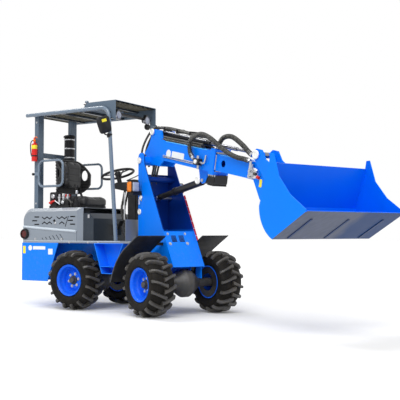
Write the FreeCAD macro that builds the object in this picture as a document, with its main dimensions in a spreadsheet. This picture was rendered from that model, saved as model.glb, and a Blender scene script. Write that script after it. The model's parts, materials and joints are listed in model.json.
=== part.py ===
"""A small articulated wheel loader with a telescopic boom and a bucket.

Frame of the machine: X forward along the rear frame, Y to its left, Z up, and the ground at Z = 0.
The two frames meet at a vertical steering pivot. Five moving groups each have a natural frame of their
own, in which their pieces are drawn, and one chain of placements puts them together:

    rear    origin on the ground under the steering pivot, X along the rear frame
    front   the same origin, X along the front frame, turned by the steering angle
    boom    origin at the boom's pivot on the mast, X along the boom
    inner   the boom's frame, moved forward by what the telescope is out
    bucket  origin at the tilt pivot, X along the bucket's floor
"""

import FreeCAD, Part
import math
import os

import Sketcher

Vector = FreeCAD.Vector

SIZES = {
    # wheels and axles
    "tyre_radius": 330,
    "tyre_width": 300,
    "tyre_shoulder": 14,
    "bead_set": 22,
    "tyre_crown_set": 88,
    "tyre_shoulder_set": 24,
    "hub_gap": 0.5,
    "axle_flange_thick": 18,
    "axle_cone": 90,
    "rim_seat": 152.4,
    "rim_wall": 6,
    "rim_lip": 20,
    "rim_disc": 10,
    "rim_dish": 112,
    "hub_bore": 34,
    "fit": 0.3,
    "track": 862,
    "rear_base": 686,
    "front_base": 683,
    "axle_tube": 46,
    "axle_case": 148,
    "axle_case_wide": 170,
    "axle_case_round": 118,
    "axle_case_flat": 34,
    "axle_flange": 84,
    # steering pivot
    "pin_radius": 22,
    "lug_thick": 26,
    "lug_wide": 120,
    "lug_reach": 58,
    "side_play": 6,
    "lug_low": 340,
    "lug_high": 585,
    "pivot_play": 4,
    # rear frame
    "body_half": 440,
    "deck_top": 765,
    "deck_thick": 25,
    "deck_sheet": 6,
    "deck_rear": -1500,
    "deck_front": 110,
    "deck_neck": -65,
    "deck_neck_half": 228,
    "frame_half": 190,
    "frame_wall": 14,
    "frame_low": 478.3,
    "frame_rear": -1290,
    "frame_front": -146,
    "panel_low": 300,
    "panel_wall": 10,
    "panel_rear": -1528,
    "panel_front": -1112,
    "panel_front_top": -950,
    "panel_round": 24,
    "weight_front": -1304,
    "tow_jaw": 50,
    "tow_bore": 13,
    "tow_gap": 44,
    "tow_plate": 14,
    "tow_height": 470,
    # engine and its hood
    "engine_long": 500,
    "engine_wide": 320,
    "engine_high": 560,
    "hood_rear": -1540,
    "hood_front": -630,
    "hood_top": 1140,
    "hood_half": 430,
    "hood_wall": 5,
    "hood_bevel": 38,
    "hood_corner": 50,
    "corner_inset": 1.4,
    "bevel_inset": 0.6,
    "skirt_proud": 7,
    "skirt_front_top": 872,
    "skirt_rear_top": 928,
    "vent_dash": 78,
    "vent_dash_high": 14,
    "vent_dash_pitch": 43,
    "vent_dash_shift": 33,
    "vent_top": 1045,
    "vent_rear": -1332,
    "vent_front": -783,
    "weave_rear": -1213,
    "weave_front": -985,
    "weave_pitch": 80,
    "weave_rise": 24,
    "weave_band": 15,
    "weave_low": 987,
    "diamond_x": -1020,
    "diamond_z": 993,
    "diamond_half": 22,
    "slash_x": -800,
    "slash_long": 122,
    "slash_wide": 12,
    "lean": 0.4,
    "louvre_x": -1180,
    "louvre_z": 777,
    "louvre_pitch": 62,
    "louvre_wide": 13,
    "louvre_high": 20,
    "louvre_grow": 9,
    "louvre_count": 6,
    "lamp_radius": 38,
    "lamp_deep": 22,
    "rear_lamp_x": -1468,
    "rear_lamp_z": 842,
    # console and seat
    "console_front": -480,
    "console_hole": 120,
    "hood_crown": 150,
    "seat_inset": 40,
    "seat_dip": 18,
    "back_round": 60,
    "console_top": 1075,
    "console_slope": 60,
    "seat_rear": -1215,
    "seat_front": -740,
    "seat_half": 235,
    "seat_low": 1155,
    "seat_thick": 125,
    "back_low": 1340,
    "back_high": 1725,
    "back_thick": 120,
    "back_half": 225,
    "back_lean": 60,
    "seat_nose": 44,
    # canopy
    "post_long": 60,
    "post_wide": 90,
    "post_wall": 4,
    "post_x": -1396,
    "post_y": 292,
    "bar_low": 1745,
    "bar_high": 1805,
    "roof_low": 2238,
    "roof_thick": 22,
    "roof_wall": 4,
    "roof_rear": -1492,
    "roof_half": 378,
    "visor_rear": -665,
    "visor_front": -176,
    "visor_high": 2318,
    "visor_low": 2098,
    "visor_wall": 4,
    "visor_toe": 16,
    "front_post_radius": 22,
    "front_post_seat": 1.9,
    "front_post_y": 400,
    "front_post_x": -148,
    "front_post_top_x": -259,
    "front_post_tube_z": 2240,
    "front_post_bend": 110,
    "guard_radius": 14,
    "guard_low": 1397,
    "guard_high": 1698,
    "guard_front": -967,
    "guard_rear": -1340,
    "guard_clamp": 40,
    "guard_bend": 65,
    "work_lamp_y": 269,
    "work_lamp_x": -243,
    "work_lamp_z": 2171,
    "work_lamp_wide": 84,
    "work_lamp_high": 92,
    "work_lamp_deep": 46,
    "mirror_x": -246,
    "mirror_y": 507,
    "mirror_z": 2030,
    "mirror_wide": 160,
    "mirror_high": 180,
    "mirror_deep": 26,
    "mirror_arm": 8,
    "bottle_radius": 34,
    "bottle_low": 1697,
    "bottle_high": 1975,
    "bottle_neck": 12,
    "bottle_shoulder": 200,
    "bottle_slope": 20,
    "filter_radius": 62,
    "filter_low": 1740,
    "filter_high": 2035,
    "stack_radius": 32,
    "filter_x": -1300,
    "filter_y": 132,
    # controls
    "dash_front": -82,
    "dash_rear": -150,
    "dash_half": 110,
    "kick_end_x": -68,
    "kick_end_y": 330,
    "column_long": 120,
    "column_seat": 42,
    "column_gap": 0.5,
    "dash_top": 1330,
    "kick_top": 1000,
    "kick_wall": 5,
    "wheel_hub_x": -440,
    "wheel_hub_z": 1530,
    "wheel_ring": 185,
    "wheel_grip": 14,
    "wheel_tilt": 16,
    "wheel_hub": 34,
    "wheel_hub_high": 46,
    "column_radius": 26,
    "stick_x": -790,
    "stick_y": 310,
    "stick_top": 1400,
    "stick_radius": 9,
    "knob_radius": 24,
    "boot_radius": 42,
    "boot_high": 70,
    "boot_waist": 34,
    "boot_waist_z": 28,
    "knob_top": 19,
    # steps
    "step_rear_top": -410,
    "step_front_top": -2,
    "step_rear": -300,
    "step_front": -152,
    "step_low": 410,
    "step_out": 456,
    "step_in": 300,
    "step_wall": 6,
    "step_side": 24,
    "step_tread_z": 490,
    # mast on the front frame
    "mast_half": 200,
    "mast_plate": 12,
    "mast_rear": 100,
    "mast_top": 1728,
    "mast_low": 345,
    "mast_nose_x": 780,
    "mast_nose_z": 490,
    "mast_chin_x": 500,
    "mast_chin_z": 492,
    "mast_brow_x": 222,
    "mast_brow_z": 1600,
    "mast_round": 48,
    "boom_pivot_x": 136,
    "boom_pivot_z": 1644,
    "boom_pin": 25,
    "pin_cap": 36,
    "pin_cap_thick": 8,
    "lift_base_x": 168,
    "lift_base_z": 1236,
    "lift_pin": 18,
    "shelf_z": 870,
    "shelf_x": 470,
    "cover_wall": 8,
    "back_plate_low": 560,
    "back_plate_high": 1500,
    "cross_tube": 30,
    "cross_tube_x": 190,
    "cross_tube_z": 1440,
    "beam_low": 400,
    "beam_high": 540,
    "beam_front": 520,
    # fenders and lamps of the front frame
    "fender_in": 236,
    "fender_out": 582,
    "fender_wall": 6,
    "fender_tip_x": 165,
    "fender_tip_z": 333,
    "fender_knee_x": 435,
    "fender_knee_z": 681,
    "fender_nose_x": 692,
    "fender_nose_z": 826,
    "fender_bow": 640,
    "fender_bracket": 30,
    "head_lamp_x": 150,
    "head_lamp_y": 290,
    "head_lamp_z": 1352,
    "head_lamp_wide": 96,
    "head_lamp_high": 118,
    "head_lamp_deep": 70,
    "lamp_arm": 16,
    # boom
    "boom_rear": 280,
    "boom_front": 1150,
    "boom_low": 45,
    "boom_high": 255,
    "boom_half": 90,
    "boom_wall": 8,
    "collar_long": 70,
    "collar_low": 20,
    "collar_high": 278,
    "collar_half": 98,
    "tail_plate": 16,
    "tail_boss": 50,
    "tail_top": 360,
    "tail_rear": -100,
    "tail_rear_z": 80,
    "tail_drop": 25,
    "tail_neck_z": 140,
    "tail_horn": 30,
    "tilt_base_x": 25,
    "tilt_base_z": 327,
    "tilt_pin": 16,
    "lift_eye_x": 960,
    "lift_eye_z": -65,
    "lift_lug": 14,
    "lift_ear_root": 88,
    "lift_ear_drop": 18,
    "housing_rear": 1095,
    "housing_front": 1215,
    "housing_low": -76,
    "housing_half": 78,
    "pipe_radius": 5,
    "pipe_z": 100,
    "pipe_front": 960,
    "pipe_step": 16,
    "pipe_count": 2,
    "inner_long": 1180,
    "inner_high": 165,
    "inner_half": 68,
    "inner_wall": 7,
    "inner_low": 64,
    "inner_rear": 170,
    "slot_x": 680,
    "slot_high": 68,
    "pad_gap": 1,
    "head_plate": 14,
    "head_half": 68,
    "head_reach": 50,
    "head_heel_x": 1290,
    "head_heel_z": -95,
    "head_step": 120,
    "head_toe": 30,
    "head_boss": 40,
    "tilt_pivot_x": 1510,
    "tilt_pivot_z": 20,
    "tilt_pivot_pin": 22,
    "coupler_wide": 70,
    "coupler_high": 90,
    "coupler_radius": 13,
    "coupler_long": 46,
    # quick hitch and bucket
    "hitch_half": 150,
    "hitch_plate": 14,
    "hitch_arm": 92,
    "hitch_face": 141,
    "hitch_low": -342,
    "hitch_shoulder": 62,
    "hitch_boss": 52,
    "hitch_toe_x": 85,
    "hitch_toe_z": 88,
    "horn_reach": 50,
    "horn_front": 80,
    "horn_tip": 25,
    "rod_pin_x": -53,
    "rod_pin_z": 414,
    "bucket_half": 575,
    "bucket_wall": 8,
    "bucket_side": 10,
    "floor_z": -608,
    "heel_x": 217,
    "edge_x": 669,
    "edge_thick": 16,
    "edge_long": 110,
    "back_x": 211,
    "back_bow": 300,
    "back_knee_z": -299,
    "lip_x": 491,
    "lip_z": -52,
    "ear_x": 569,
    "ear_z": -11,
    "throat_x": 532,
    "throat_z": -208,
    "jaw_x": 572,
    "jaw_z": -400,
    "strip_wide": 20,
    "strip_thick": 6,
    "strip_set": 20,
    "strip_pitch": 420,
    "hook_half": 168,
    "hook_plate": 16,
    "hook_drop": 64,
    "hook_top": 48,
    # cylinders
    "lift_barrel": 38,
    "lift_rod": 20,
    "lift_barrel_long": 560,
    "lift_eye": 34,
    "tilt_barrel": 31,
    "tilt_stage": 20,
    "tilt_rod": 15,
    "tilt_barrel_long": 960,
    "tilt_stage_out": 420,
    "tilt_eye": 28,
    "eye_gap": 2,
    "eye_half": 24,
    "barrel_wall": 6,
    "neck_reach": 1.7,
    "gland": 4,
    "lift_overlap": 110,
    "tilt_overlap": 330,
    "stage_back": 40,
    # how the machine stands
    "steer_angle": -21.1,
    "boom_angle": -11.7,
    "bucket_angle": 28.8,
    "telescope_out": 450,
}

document = FreeCAD.newDocument("wheel_loader")
sheet = document.addObject("Spreadsheet::Sheet", "Sizes")


class Size:
    """A number together with the sheet expression that it comes from."""

    def __init__(self, value, text):
        self.value = float(value)
        self.text = text

    def __add__(self, other):
        other = size_of(other)
        return Size(self.value + other.value, f"({self.text} + {other.text})")

    def __sub__(self, other):
        other = size_of(other)
        return Size(self.value - other.value, f"({self.text} - {other.text})")

    def __mul__(self, other):
        other = size_of(other)
        return Size(self.value * other.value, f"({self.text} * {other.text})")

    def __truediv__(self, other):
        other = size_of(other)
        return Size(self.value / other.value, f"({self.text} / {other.text})")

    def __neg__(self):
        return Size(-self.value, f"(0 - {self.text})")

    def __radd__(self, other):
        return size_of(other) + self

    def __rsub__(self, other):
        return size_of(other) - self

    def __rmul__(self, other):
        return size_of(other) * self


def size_of(number):
    """A Size as it is, or a plain number as one."""
    if isinstance(number, Size):
        return number
    return Size(number, f"({float(number)!r})")


def sine(angle):
    """The sine of an angle in degrees, as a Size."""
    return Size(math.sin(math.radians(angle.value)), f"sin({angle.text})")


def cosine(angle):
    """The cosine of an angle in degrees, as a Size."""
    return Size(math.cos(math.radians(angle.value)), f"cos({angle.text})")


class Sheet:
    """Every alias of the sheet as an attribute that is a Size."""

    def __init__(self, values):
        for row, (alias, value) in enumerate(values.items(), start=1):
            sheet.set(f"A{row}", alias)
            sheet.set(f"B{row}", str(value))
            sheet.setAlias(f"B{row}", alias)
            setattr(self, alias, Size(value, f"Sizes.{alias}"))


size = Sheet(SIZES)
document.recompute()

PARTS = []


def new_body(label, place=None, kept=True):
    """An empty body, kept as a sub-part with the placement of the group that carries it."""
    body = document.addObject("PartDesign::Body", label)
    body.Label = label
    body.AllowCompound = True
    if kept:
        PARTS.append((body, place or FreeCAD.Placement()))
    return body


def origin_of(body, role):
    """One of the body's own origin planes or axes."""
    return next(feature for feature in body.Origin.OriginFeatures if feature.Role == role)


def bind(thing, name, number):
    """Set a property to a Size and tie it to the sheet."""
    thing.setExpression(name, size_of(number).text)


def new_sketch(body, plane, offset):
    """A sketch on an origin plane, moved along the plane's own normal."""
    sketch = body.newObject("Sketcher::SketchObject", f"{body.Name}_sketch")
    sketch.AttachmentSupport = [(origin_of(body, plane), "")]
    sketch.MapMode = "FlatFace"
    bind(sketch, ".AttachmentOffset.Base.z", offset)
    return sketch


def pin_point(sketch, geometry, end, point):
    """Hold one point of a sketch at its two distances from the origin."""
    for kind, distance in zip(("DistanceX", "DistanceY"), point):
        distance = size_of(distance)
        number = sketch.addConstraint(
            Sketcher.Constraint(kind, -1, 1, geometry, end, distance.value)
        )
        sketch.setExpression(f"Constraints[{number}]", distance.text)


def arc_between(start, end, radius):
    """The shorter arc of a signed radius: positive turns left on the way from start to end."""
    chord = Vector(end[0] - start[0], end[1] - start[1], 0)
    middle = Vector((start[0] + end[0]) / 2, (start[1] + end[1]) / 2, 0)
    reach = math.sqrt(max(radius**2 - (chord.Length / 2) ** 2, 0))
    left = Vector(-chord.y, chord.x, 0).normalize()
    centre = middle + left * reach * (1 if radius > 0 else -1)
    first, last = (start, end) if radius > 0 else (end, start)
    angles = [math.atan2(p[1] - centre.y, p[0] - centre.x) for p in (first, last)]
    circle = Part.Circle(centre, Vector(0, 0, 1), abs(radius))
    return Part.ArcOfCircle(circle, *angles)


def draw_outline(sketch, corners):
    """Close an outline: each corner is (x, y), or (x, y, r) where the side to it is an arc of radius r."""
    first_of = []
    for number, corner in enumerate(corners):
        before = corners[number - 1]
        start = [size_of(value).value for value in before[:2]]
        end = [size_of(value).value for value in corner[:2]]
        if len(corner) == 3:
            radius = size_of(corner[2])
            side = sketch.addGeometry(arc_between(start, end, radius.value), False)
            first_of.append((side, 1 if radius.value > 0 else 2))
            bound = sketch.addConstraint(Sketcher.Constraint("Radius", side, abs(radius.value)))
            sketch.setExpression(f"Constraints[{bound}]", f"abs({radius.text})")
        else:
            side = sketch.addGeometry(Part.LineSegment(Vector(*start, 0), Vector(*end, 0)), False)
            first_of.append((side, 1))
    for number, (side, start) in enumerate(first_of):
        after, after_start = first_of[(number + 1) % len(first_of)]
        sketch.addConstraint(Sketcher.Constraint("Coincident", side, 3 - start, after, after_start))
        pin_point(sketch, side, 3 - start, corners[number][:2])


def draw_circle(sketch, x, y, radius):
    """A circle at a place given by the sheet."""
    x, y, radius = size_of(x), size_of(y), size_of(radius)
    circle = Part.Circle(Vector(x.value, y.value, 0), Vector(0, 0, 1), radius.value)
    number = sketch.addGeometry(circle, False)
    pin_point(sketch, number, 3, (x, y))
    bound = sketch.addConstraint(Sketcher.Constraint("Radius", number, radius.value))
    sketch.setExpression(f"Constraints[{bound}]", radius.text)


def extrude(kind, body, plane, low, high, drawing):
    """A pad or pocket between two heights along the axis that the plane faces."""
    low, high = size_of(low), size_of(high)
    sketch = new_sketch(body, plane, -high if plane == "XZ_Plane" else low)
    drawing(sketch)
    feature = body.newObject(f"PartDesign::{kind}", f"{body.Name}_{kind.lower()}")
    feature.Profile = sketch
    bind(feature, "Length", high - low)
    feature.Reversed = kind == "Pocket"
    body.Tip = feature
    return feature


def plate(body, plane, low, high, corners):
    """A pad of an outline."""
    return extrude("Pad", body, plane, low, high, lambda sketch: draw_outline(sketch, corners))


def cut(body, plane, low, high, corners):
    """A pocket of an outline."""
    return extrude("Pocket", body, plane, low, high, lambda sketch: draw_outline(sketch, corners))


def cut_all(body, plane, low, high, outlines):
    """One pocket of several outlines."""

    def drawing(sketch):
        for corners in outlines:
            draw_outline(sketch, corners)

    return extrude("Pocket", body, plane, low, high, drawing)


def rod(body, plane, low, high, x, y, radius):
    """A pad of a circle."""
    return extrude("Pad", body, plane, low, high, lambda sketch: draw_circle(sketch, x, y, radius))


def bore(body, plane, low, high, x, y, radius):
    """A pocket of a circle."""
    return extrude("Pocket", body, plane, low, high, lambda sketch: draw_circle(sketch, x, y, radius))


def box(low_x, high_x, low_y, high_y):
    """The corners of a rectangle."""
    return [(low_x, low_y), (high_x, low_y), (high_x, high_y), (low_x, high_y)]


def revolve(body, plane, axis, corners, angle=360):
    """An outline turned about one of the body's origin axes."""
    sketch = new_sketch(body, plane, 0)
    draw_outline(sketch, corners)
    feature = body.newObject("PartDesign::Revolution", f"{body.Name}_turn")
    feature.Profile = sketch
    feature.ReferenceAxis = (origin_of(body, axis), [""])
    feature.Angle = angle
    body.Tip = feature
    return feature


def mirrored(body, features, plane="XZ_Plane"):
    """The same features on the other side of a plane."""
    feature = body.newObject("PartDesign::Mirrored", f"{body.Name}_mirror")
    feature.Originals = features
    feature.MirrorPlane = (origin_of(body, plane), [""])
    body.Tip = feature
    return feature


def edges_of(feature, wanted):
    """The names of the edges of a feature for which wanted(middle, direction) is true."""
    document.recompute()
    names = []
    for number, edge in enumerate(feature.Shape.Edges, start=1):
        middle = edge.valueAt((edge.FirstParameter + edge.LastParameter) / 2)
        direction = edge.tangentAt(edge.FirstParameter)
        if wanted(middle, direction):
            names.append(f"Edge{number}")
    return names


def rounded(body, feature, radius, wanted):
    """A fillet on the wanted edges of a feature."""
    names = edges_of(feature, wanted)
    fillet = body.newObject("PartDesign::Fillet", f"{body.Name}_fillet")
    fillet.Base = (feature, names)
    bind(fillet, "Radius", radius)
    body.Tip = fillet
    return fillet


def bevelled(body, feature, width, wanted):
    """A chamfer on the wanted edges of a feature."""
    names = edges_of(feature, wanted)
    chamfer = body.newObject("PartDesign::Chamfer", f"{body.Name}_chamfer")
    chamfer.Base = (feature, names)
    bind(chamfer, "Size", width)
    body.Tip = chamfer
    return chamfer


def bent_wire(points, bends):
    """Straight runs joined by tangent arcs, one radius for each inner point."""
    edges = []
    start = Vector(*points[0])
    for before, point, after, radius in zip(points, points[1:], points[2:], bends):
        corner = Vector(*point)
        back = (Vector(*before) - corner).normalize()
        ahead = (Vector(*after) - corner).normalize()
        half = back.getAngle(ahead) / 2
        reach = radius / math.tan(half)
        first, last = corner + back * reach, corner + ahead * reach
        inward = (back + ahead).normalize()
        crown = corner + inward * (radius / math.sin(half) - radius)
        edges.append(Part.LineSegment(start, first).toShape())
        edges.append(Part.Arc(first, crown, last).toShape())
        start = last
    edges.append(Part.LineSegment(start, Vector(*points[-1])).toShape())
    return Part.Wire(edges)


def bent_tube(points, bends, radius):
    """A round bar along a bent wire."""
    points = [[size_of(value).value for value in point] for point in points]
    wire = bent_wire(points, [size_of(bend).value for bend in bends])
    direction = Vector(*points[1]) - Vector(*points[0])
    circle = Part.Circle(Vector(*points[0]), direction, size_of(radius).value)
    profile = Part.Wire([circle.toShape()])
    return wire.makePipeShell([profile], True, True)


def new_shape(label, shape, place=None):
    """A sub-part whose shape comes from Part's own functions."""
    feature = document.addObject("Part::Feature", label)
    feature.Label = label
    feature.Shape = shape
    PARTS.append((feature, place or FreeCAD.Placement()))
    return feature


# The chain of placements from the rear frame to the bucket.


def turn(axis, degrees):
    """A placement that only turns."""
    return FreeCAD.Placement(Vector(), FreeCAD.Rotation(axis, degrees))


def move(x, y, z):
    """A placement that only moves."""
    return FreeCAD.Placement(
        Vector(size_of(x).value, size_of(y).value, size_of(z).value), FreeCAD.Rotation()
    )


UP = Vector(0, 0, 1)
LEFT = Vector(0, 1, 0)
REAR = FreeCAD.Placement()
FRONT = turn(UP, size.steer_angle.value)
BOOM = FRONT * move(size.boom_pivot_x, 0, size.boom_pivot_z) * turn(LEFT, -size.boom_angle.value)
INNER = BOOM * move(size.inner_rear + size.telescope_out, 0, 0)
BUCKET = (
    INNER
    * move(size.tilt_pivot_x, 0, size.tilt_pivot_z)
    * turn(LEFT, size.boom_angle.value - size.bucket_angle.value)
)
deck_low = size.deck_top - size.deck_thick


# Wheels and axles. A wheel's own Y is its axle, and its dished side faces -Y.

bead = size.tyre_width / 2 - size.bead_set
dish_face = size.rim_dish - bead - size.rim_wall
disc_back = dish_face + size.rim_disc


def tyre(label, place):
    """The carcass over the tips of its lugs, on the rim's seat."""
    body = new_body(label, place)
    seat = size.rim_seat + size.fit
    inside = bead - size.fit
    side = size.tyre_width / 2
    crown = side - size.tyre_crown_set
    shoulder = side - size.tyre_shoulder_set
    low = size.rim_seat + size.rim_lip + size.tyre_shoulder
    middle = (low + size.tyre_radius) / 2
    high = size.tyre_radius - size.tyre_shoulder
    half = [(seat, inside), (low, inside), (middle, side), (high, shoulder), (size.tyre_radius, crown)]
    corners = [(x, -y) for x, y in half] + half[::-1]
    revolve(body, "XY_Plane", "Y_Axis", corners)


def rim(label, place):
    """A welded rim: barrel with two lips, and a disc set back from the outer lip."""
    body = new_body(label, place)
    inner = size.rim_seat - size.rim_wall
    lip = size.rim_seat + size.rim_lip
    edge = bead + size.rim_wall
    corners = [
        (size.rim_seat, -bead),
        (lip, -bead),
        (lip, -edge),
        (inner, -edge),
        (inner, dish_face),
        (size.hub_bore, dish_face),
        (size.hub_bore, disc_back),
        (inner, disc_back),
        (inner, edge),
        (lip, edge),
        (lip, bead),
        (size.rim_seat, bead),
    ]
    revolve(body, "XY_Plane", "Y_Axis", corners)


def axle(label, place):
    """A drive axle: bevel case in the middle, tubes, and a flange behind each wheel disc."""
    body = new_body(label, place)
    end = size.track / 2 - disc_back - size.hub_gap
    flange = end - size.axle_flange_thick
    case = size.axle_case_wide / 2
    cone = case + size.axle_cone
    half = [
        (0, end),
        (size.axle_flange, end),
        (size.axle_flange, flange),
        (size.axle_tube, flange),
        (size.axle_tube, cone),
        (size.axle_case_round, case),
        (size.axle_case, size.axle_case_flat),
    ]
    corners = [(x, -y) for x, y in half] + half[::-1]
    revolve(body, "XY_Plane", "Y_Axis", corners)


def wheels():
    """Four wheels, the left ones turned so that the dish faces out."""
    for end, group, base in (("rear", REAR, -size.rear_base), ("front", FRONT, size.front_base)):
        axle(f"{end}_axle", group * move(base, 0, size.tyre_radius))
        for side, lateral in (("right", -size.track / 2), ("left", size.track / 2)):
            place = group * move(base, lateral, size.tyre_radius)
            if side == "left":
                place = place * turn(UP, 180)
            tyre(f"tyre_{end}_{side}", place)
            rim(f"rim_{end}_{side}", place)


# Rear frame and body.


def rear_frame():
    """A tub of two rails on the rear axle, and in front two lugs with the steering pin."""
    body = new_body("rear_frame")
    half, wall = size.frame_half, size.frame_wall
    tub = box(size.frame_rear, size.frame_front, size.frame_low, deck_low)
    plate(body, "XZ_Plane", -half, half, tub)
    floor = size.frame_low + wall
    inside = box(size.frame_rear + wall, size.frame_front - wall, floor, deck_low + wall)
    cut(body, "XZ_Plane", wall - half, half - wall, inside)
    front = box(-half, half, size.lug_low, size.frame_low + wall)
    plate(body, "YZ_Plane", size.frame_front - wall, size.frame_front, front)
    root = size.frame_front - wall
    lug = [(root, -size.lug_wide), (0, -size.lug_reach), (0, size.lug_reach), (root, size.lug_wide)]
    for low in (size.lug_low, size.lug_high - size.lug_thick):
        plate(body, "XY_Plane", low, low + size.lug_thick, lug)
        rod(body, "XY_Plane", low, low + size.lug_thick, 0, 0, size.lug_reach)
    cap = size.pin_cap_thick
    rod(body, "XY_Plane", size.lug_low - cap, size.lug_high + cap, 0, 0, size.pin_radius)
    rod(body, "XY_Plane", size.lug_high, size.lug_high + cap, 0, 0, size.pin_cap)
    rod(body, "XY_Plane", size.lug_low - cap, size.lug_low, 0, 0, size.pin_cap)


def rear_body():
    """Blue panels round the rear of the frame, cut back for the rear wheels."""
    body = new_body("rear_body")
    half, wall = size.body_half, size.panel_wall
    outline = [
        (size.panel_rear, size.panel_low),
        (size.panel_front, size.panel_low),
        (size.panel_front_top, deck_low),
        (size.panel_rear, deck_low),
    ]
    panel = plate(body, "XZ_Plane", -half, half, outline)
    rear = size.panel_rear.value
    rounded(body, panel, size.panel_round, lambda at, way: abs(way.z) > 0.99 and at.x < rear + 1)
    rear, front = size.panel_rear + wall, size.panel_front_top + wall
    inside = box(rear, front, size.panel_low - wall, deck_low + wall)
    cut(body, "XZ_Plane", wall - half, half - wall, inside)


def counterweight():
    """A cast weight that fills the tail of the rear body."""
    body = new_body("counterweight")
    half = size.body_half - size.panel_wall
    outline = box(size.panel_rear + size.panel_wall, size.weight_front, size.panel_low, deck_low)
    plate(body, "XZ_Plane", -half, half, outline)


def tow_hitch():
    """A jaw of two plates with a vertical pin bore on the tail."""
    body = new_body("tow_hitch")
    rear = size.panel_rear
    tip = rear - size.tow_jaw
    half_gap = size.tow_gap / 2
    outline = [(rear, -size.tow_jaw), (tip, -size.tow_plate), (tip, size.tow_plate), (rear, size.tow_jaw)]
    for low in (size.tow_height - half_gap - size.tow_plate, size.tow_height + half_gap):
        plate(body, "XY_Plane", low, low + size.tow_plate, outline)
        bore(body, "XY_Plane", low, low + size.tow_plate, rear - size.tow_jaw / 2, 0, size.tow_bore)


def deck():
    """The floor plate, narrowed in front round the sweep of the mast, open over the engine."""
    body = new_body("deck")
    half, neck = size.body_half, size.deck_neck_half
    outline = [
        (size.deck_rear, -half),
        (size.deck_front, -half),
        (size.deck_neck, -neck),
        (size.deck_neck, neck),
        (size.deck_front, half),
        (size.deck_rear, half),
    ]
    plate(body, "XY_Plane", deck_low, size.deck_top, outline)
    fold = size.deck_sheet
    under = [
        (size.deck_rear + fold, fold - half),
        (size.deck_front - fold * 3, fold - half),
        (size.deck_neck - fold, -neck),
        (size.deck_rear + fold, -neck),
    ]
    pocket = cut(body, "XY_Plane", deck_low, size.deck_top - fold, under)
    mirrored(body, [pocket])
    front = engine_rear + size.engine_long + size.panel_wall
    side = size.engine_wide / 2 + size.panel_wall
    cut(body, "XY_Plane", deck_low, size.deck_top, box(engine_rear - size.panel_wall, front, -side, side))
    add_kick_panel(body)


def add_kick_panel(body):
    """The folded panel that stands on the deck in front of the feet."""
    half = size.dash_half
    wall = size.kick_wall
    neck = size.dash_front + size.panel_wall
    side = size.deck_neck_half
    end = size.kick_end_x
    outline = [
        (neck, -half),
        (end, -size.kick_end_y),
        (end - wall, -size.kick_end_y),
        (neck - wall, -half),
        (neck - wall, half),
        (end - wall, size.kick_end_y),
        (end, size.kick_end_y),
        (neck, half),
    ]
    plate(body, "XY_Plane", size.deck_top - size.deck_sheet, size.kick_top, outline)


engine_rear = size.frame_rear + size.frame_wall + size.panel_wall


def engine_block():
    """The engine as one block at its place in the tub."""
    body = new_body("engine_block")
    low = size.frame_low + size.frame_wall
    side = size.engine_wide / 2
    outline = box(engine_rear, engine_rear + size.engine_long, low, low + size.engine_high)
    plate(body, "XZ_Plane", -side, side, outline)


def hood_outline(inset):
    """The hood's side view, drawn in by an inset."""
    low, top = size.deck_top - inset, size.hood_top - inset
    rear, crown = size.hood_rear + inset, size.hood_crown
    return [
        (rear, low),
        (size.hood_front + inset, low),
        (size.hood_front + inset, top),
        (size.hood_rear + crown, top),
        (rear, size.hood_top - crown, crown - inset),
    ]


def hood_block(label, inset):
    """A solid block with the hood's shape, smaller by an inset, with its long edges bevelled."""
    body = new_body(label, kept=False)
    half = size.hood_half - inset
    block = plate(body, "XZ_Plane", -half, half, hood_outline(inset))
    front, edge, low = size.hood_front.value - 1, half.value - 1, size.deck_top.value + 1

    def shoulder(at, way):
        return at.x < front and abs(at.y) > edge and at.z > low and abs(way.y) < 0.5

    def corner(at, way):
        return at.x > front and abs(at.y) > edge and abs(way.z) > 0.9

    bevelled(body, block, size.hood_bevel - inset * size.bevel_inset, shoulder)
    bevelled(body, body.Tip, size.hood_corner + inset * size.corner_inset, corner)
    return body


def dash_outlines(start):
    """Three short level vents above each other, the middle one set back."""
    outlines = []
    for row, shift in ((0, 0), (1, -size.vent_dash_shift), (2, 0)):
        high = size.vent_top - size.vent_dash_pitch * row
        left = start + shift
        outlines.append(box(left, left + size.vent_dash, high - size.vent_dash_high, high))
    return outlines


def weave_outline(left, high, teeth, rise):
    """A zig-zag band that begins at a height and turns by a rise, up or down."""
    step = size.weave_pitch / 2
    upper = [(left + step * count, high + rise * (count % 2)) for count in range(teeth * 2 + 1)]
    lower = [(x, z - size.weave_band) for x, z in reversed(upper)]
    return lower + upper


def slash_outline(x, low, high, wide):
    """A slanted vent whose top leans to the front."""
    lean = (high - low) * size.lean
    return [(x - lean - wide, low), (x - lean, low), (x, high), (x - wide, high)]


def panel_vents():
    """The vents of the upper panel: dashes at both ends, woven bands, a diamond and a slash."""
    top, low = size.vent_top, size.weave_low
    rise, half = size.weave_rise, size.diamond_half
    x, z = size.diamond_x, size.diamond_z
    return [
        *dash_outlines(size.vent_rear),
        *dash_outlines(size.vent_front),
        weave_outline(size.weave_rear, top, 2, -rise),
        weave_outline(size.weave_rear, low - rise, 2, rise),
        weave_outline(size.weave_front, top, 2, -rise),
        weave_outline(size.weave_front + size.weave_pitch / 2, low - rise, 1, rise),
        [(x - half, z), (x, z - half), (x + half, z), (x, z + half)],
        slash_outline(size.slash_x, top - size.slash_long, top, size.slash_wide),
    ]


def louvres():
    """Slanted vents of the skirt, longer towards the front, their tops leaning to the rear."""
    outlines = []
    for number in range(int(size.louvre_count.value)):
        x, low = size.louvre_x + size.louvre_pitch * number, size.louvre_z
        tall = size.louvre_high + size.louvre_grow * number
        wide, lean = size.louvre_wide, tall * size.lean * 2
        top = low + tall
        outlines.append([(x - wide, low), (x, low), (x - lean, top), (x - lean - wide, top)])
    return outlines


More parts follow.
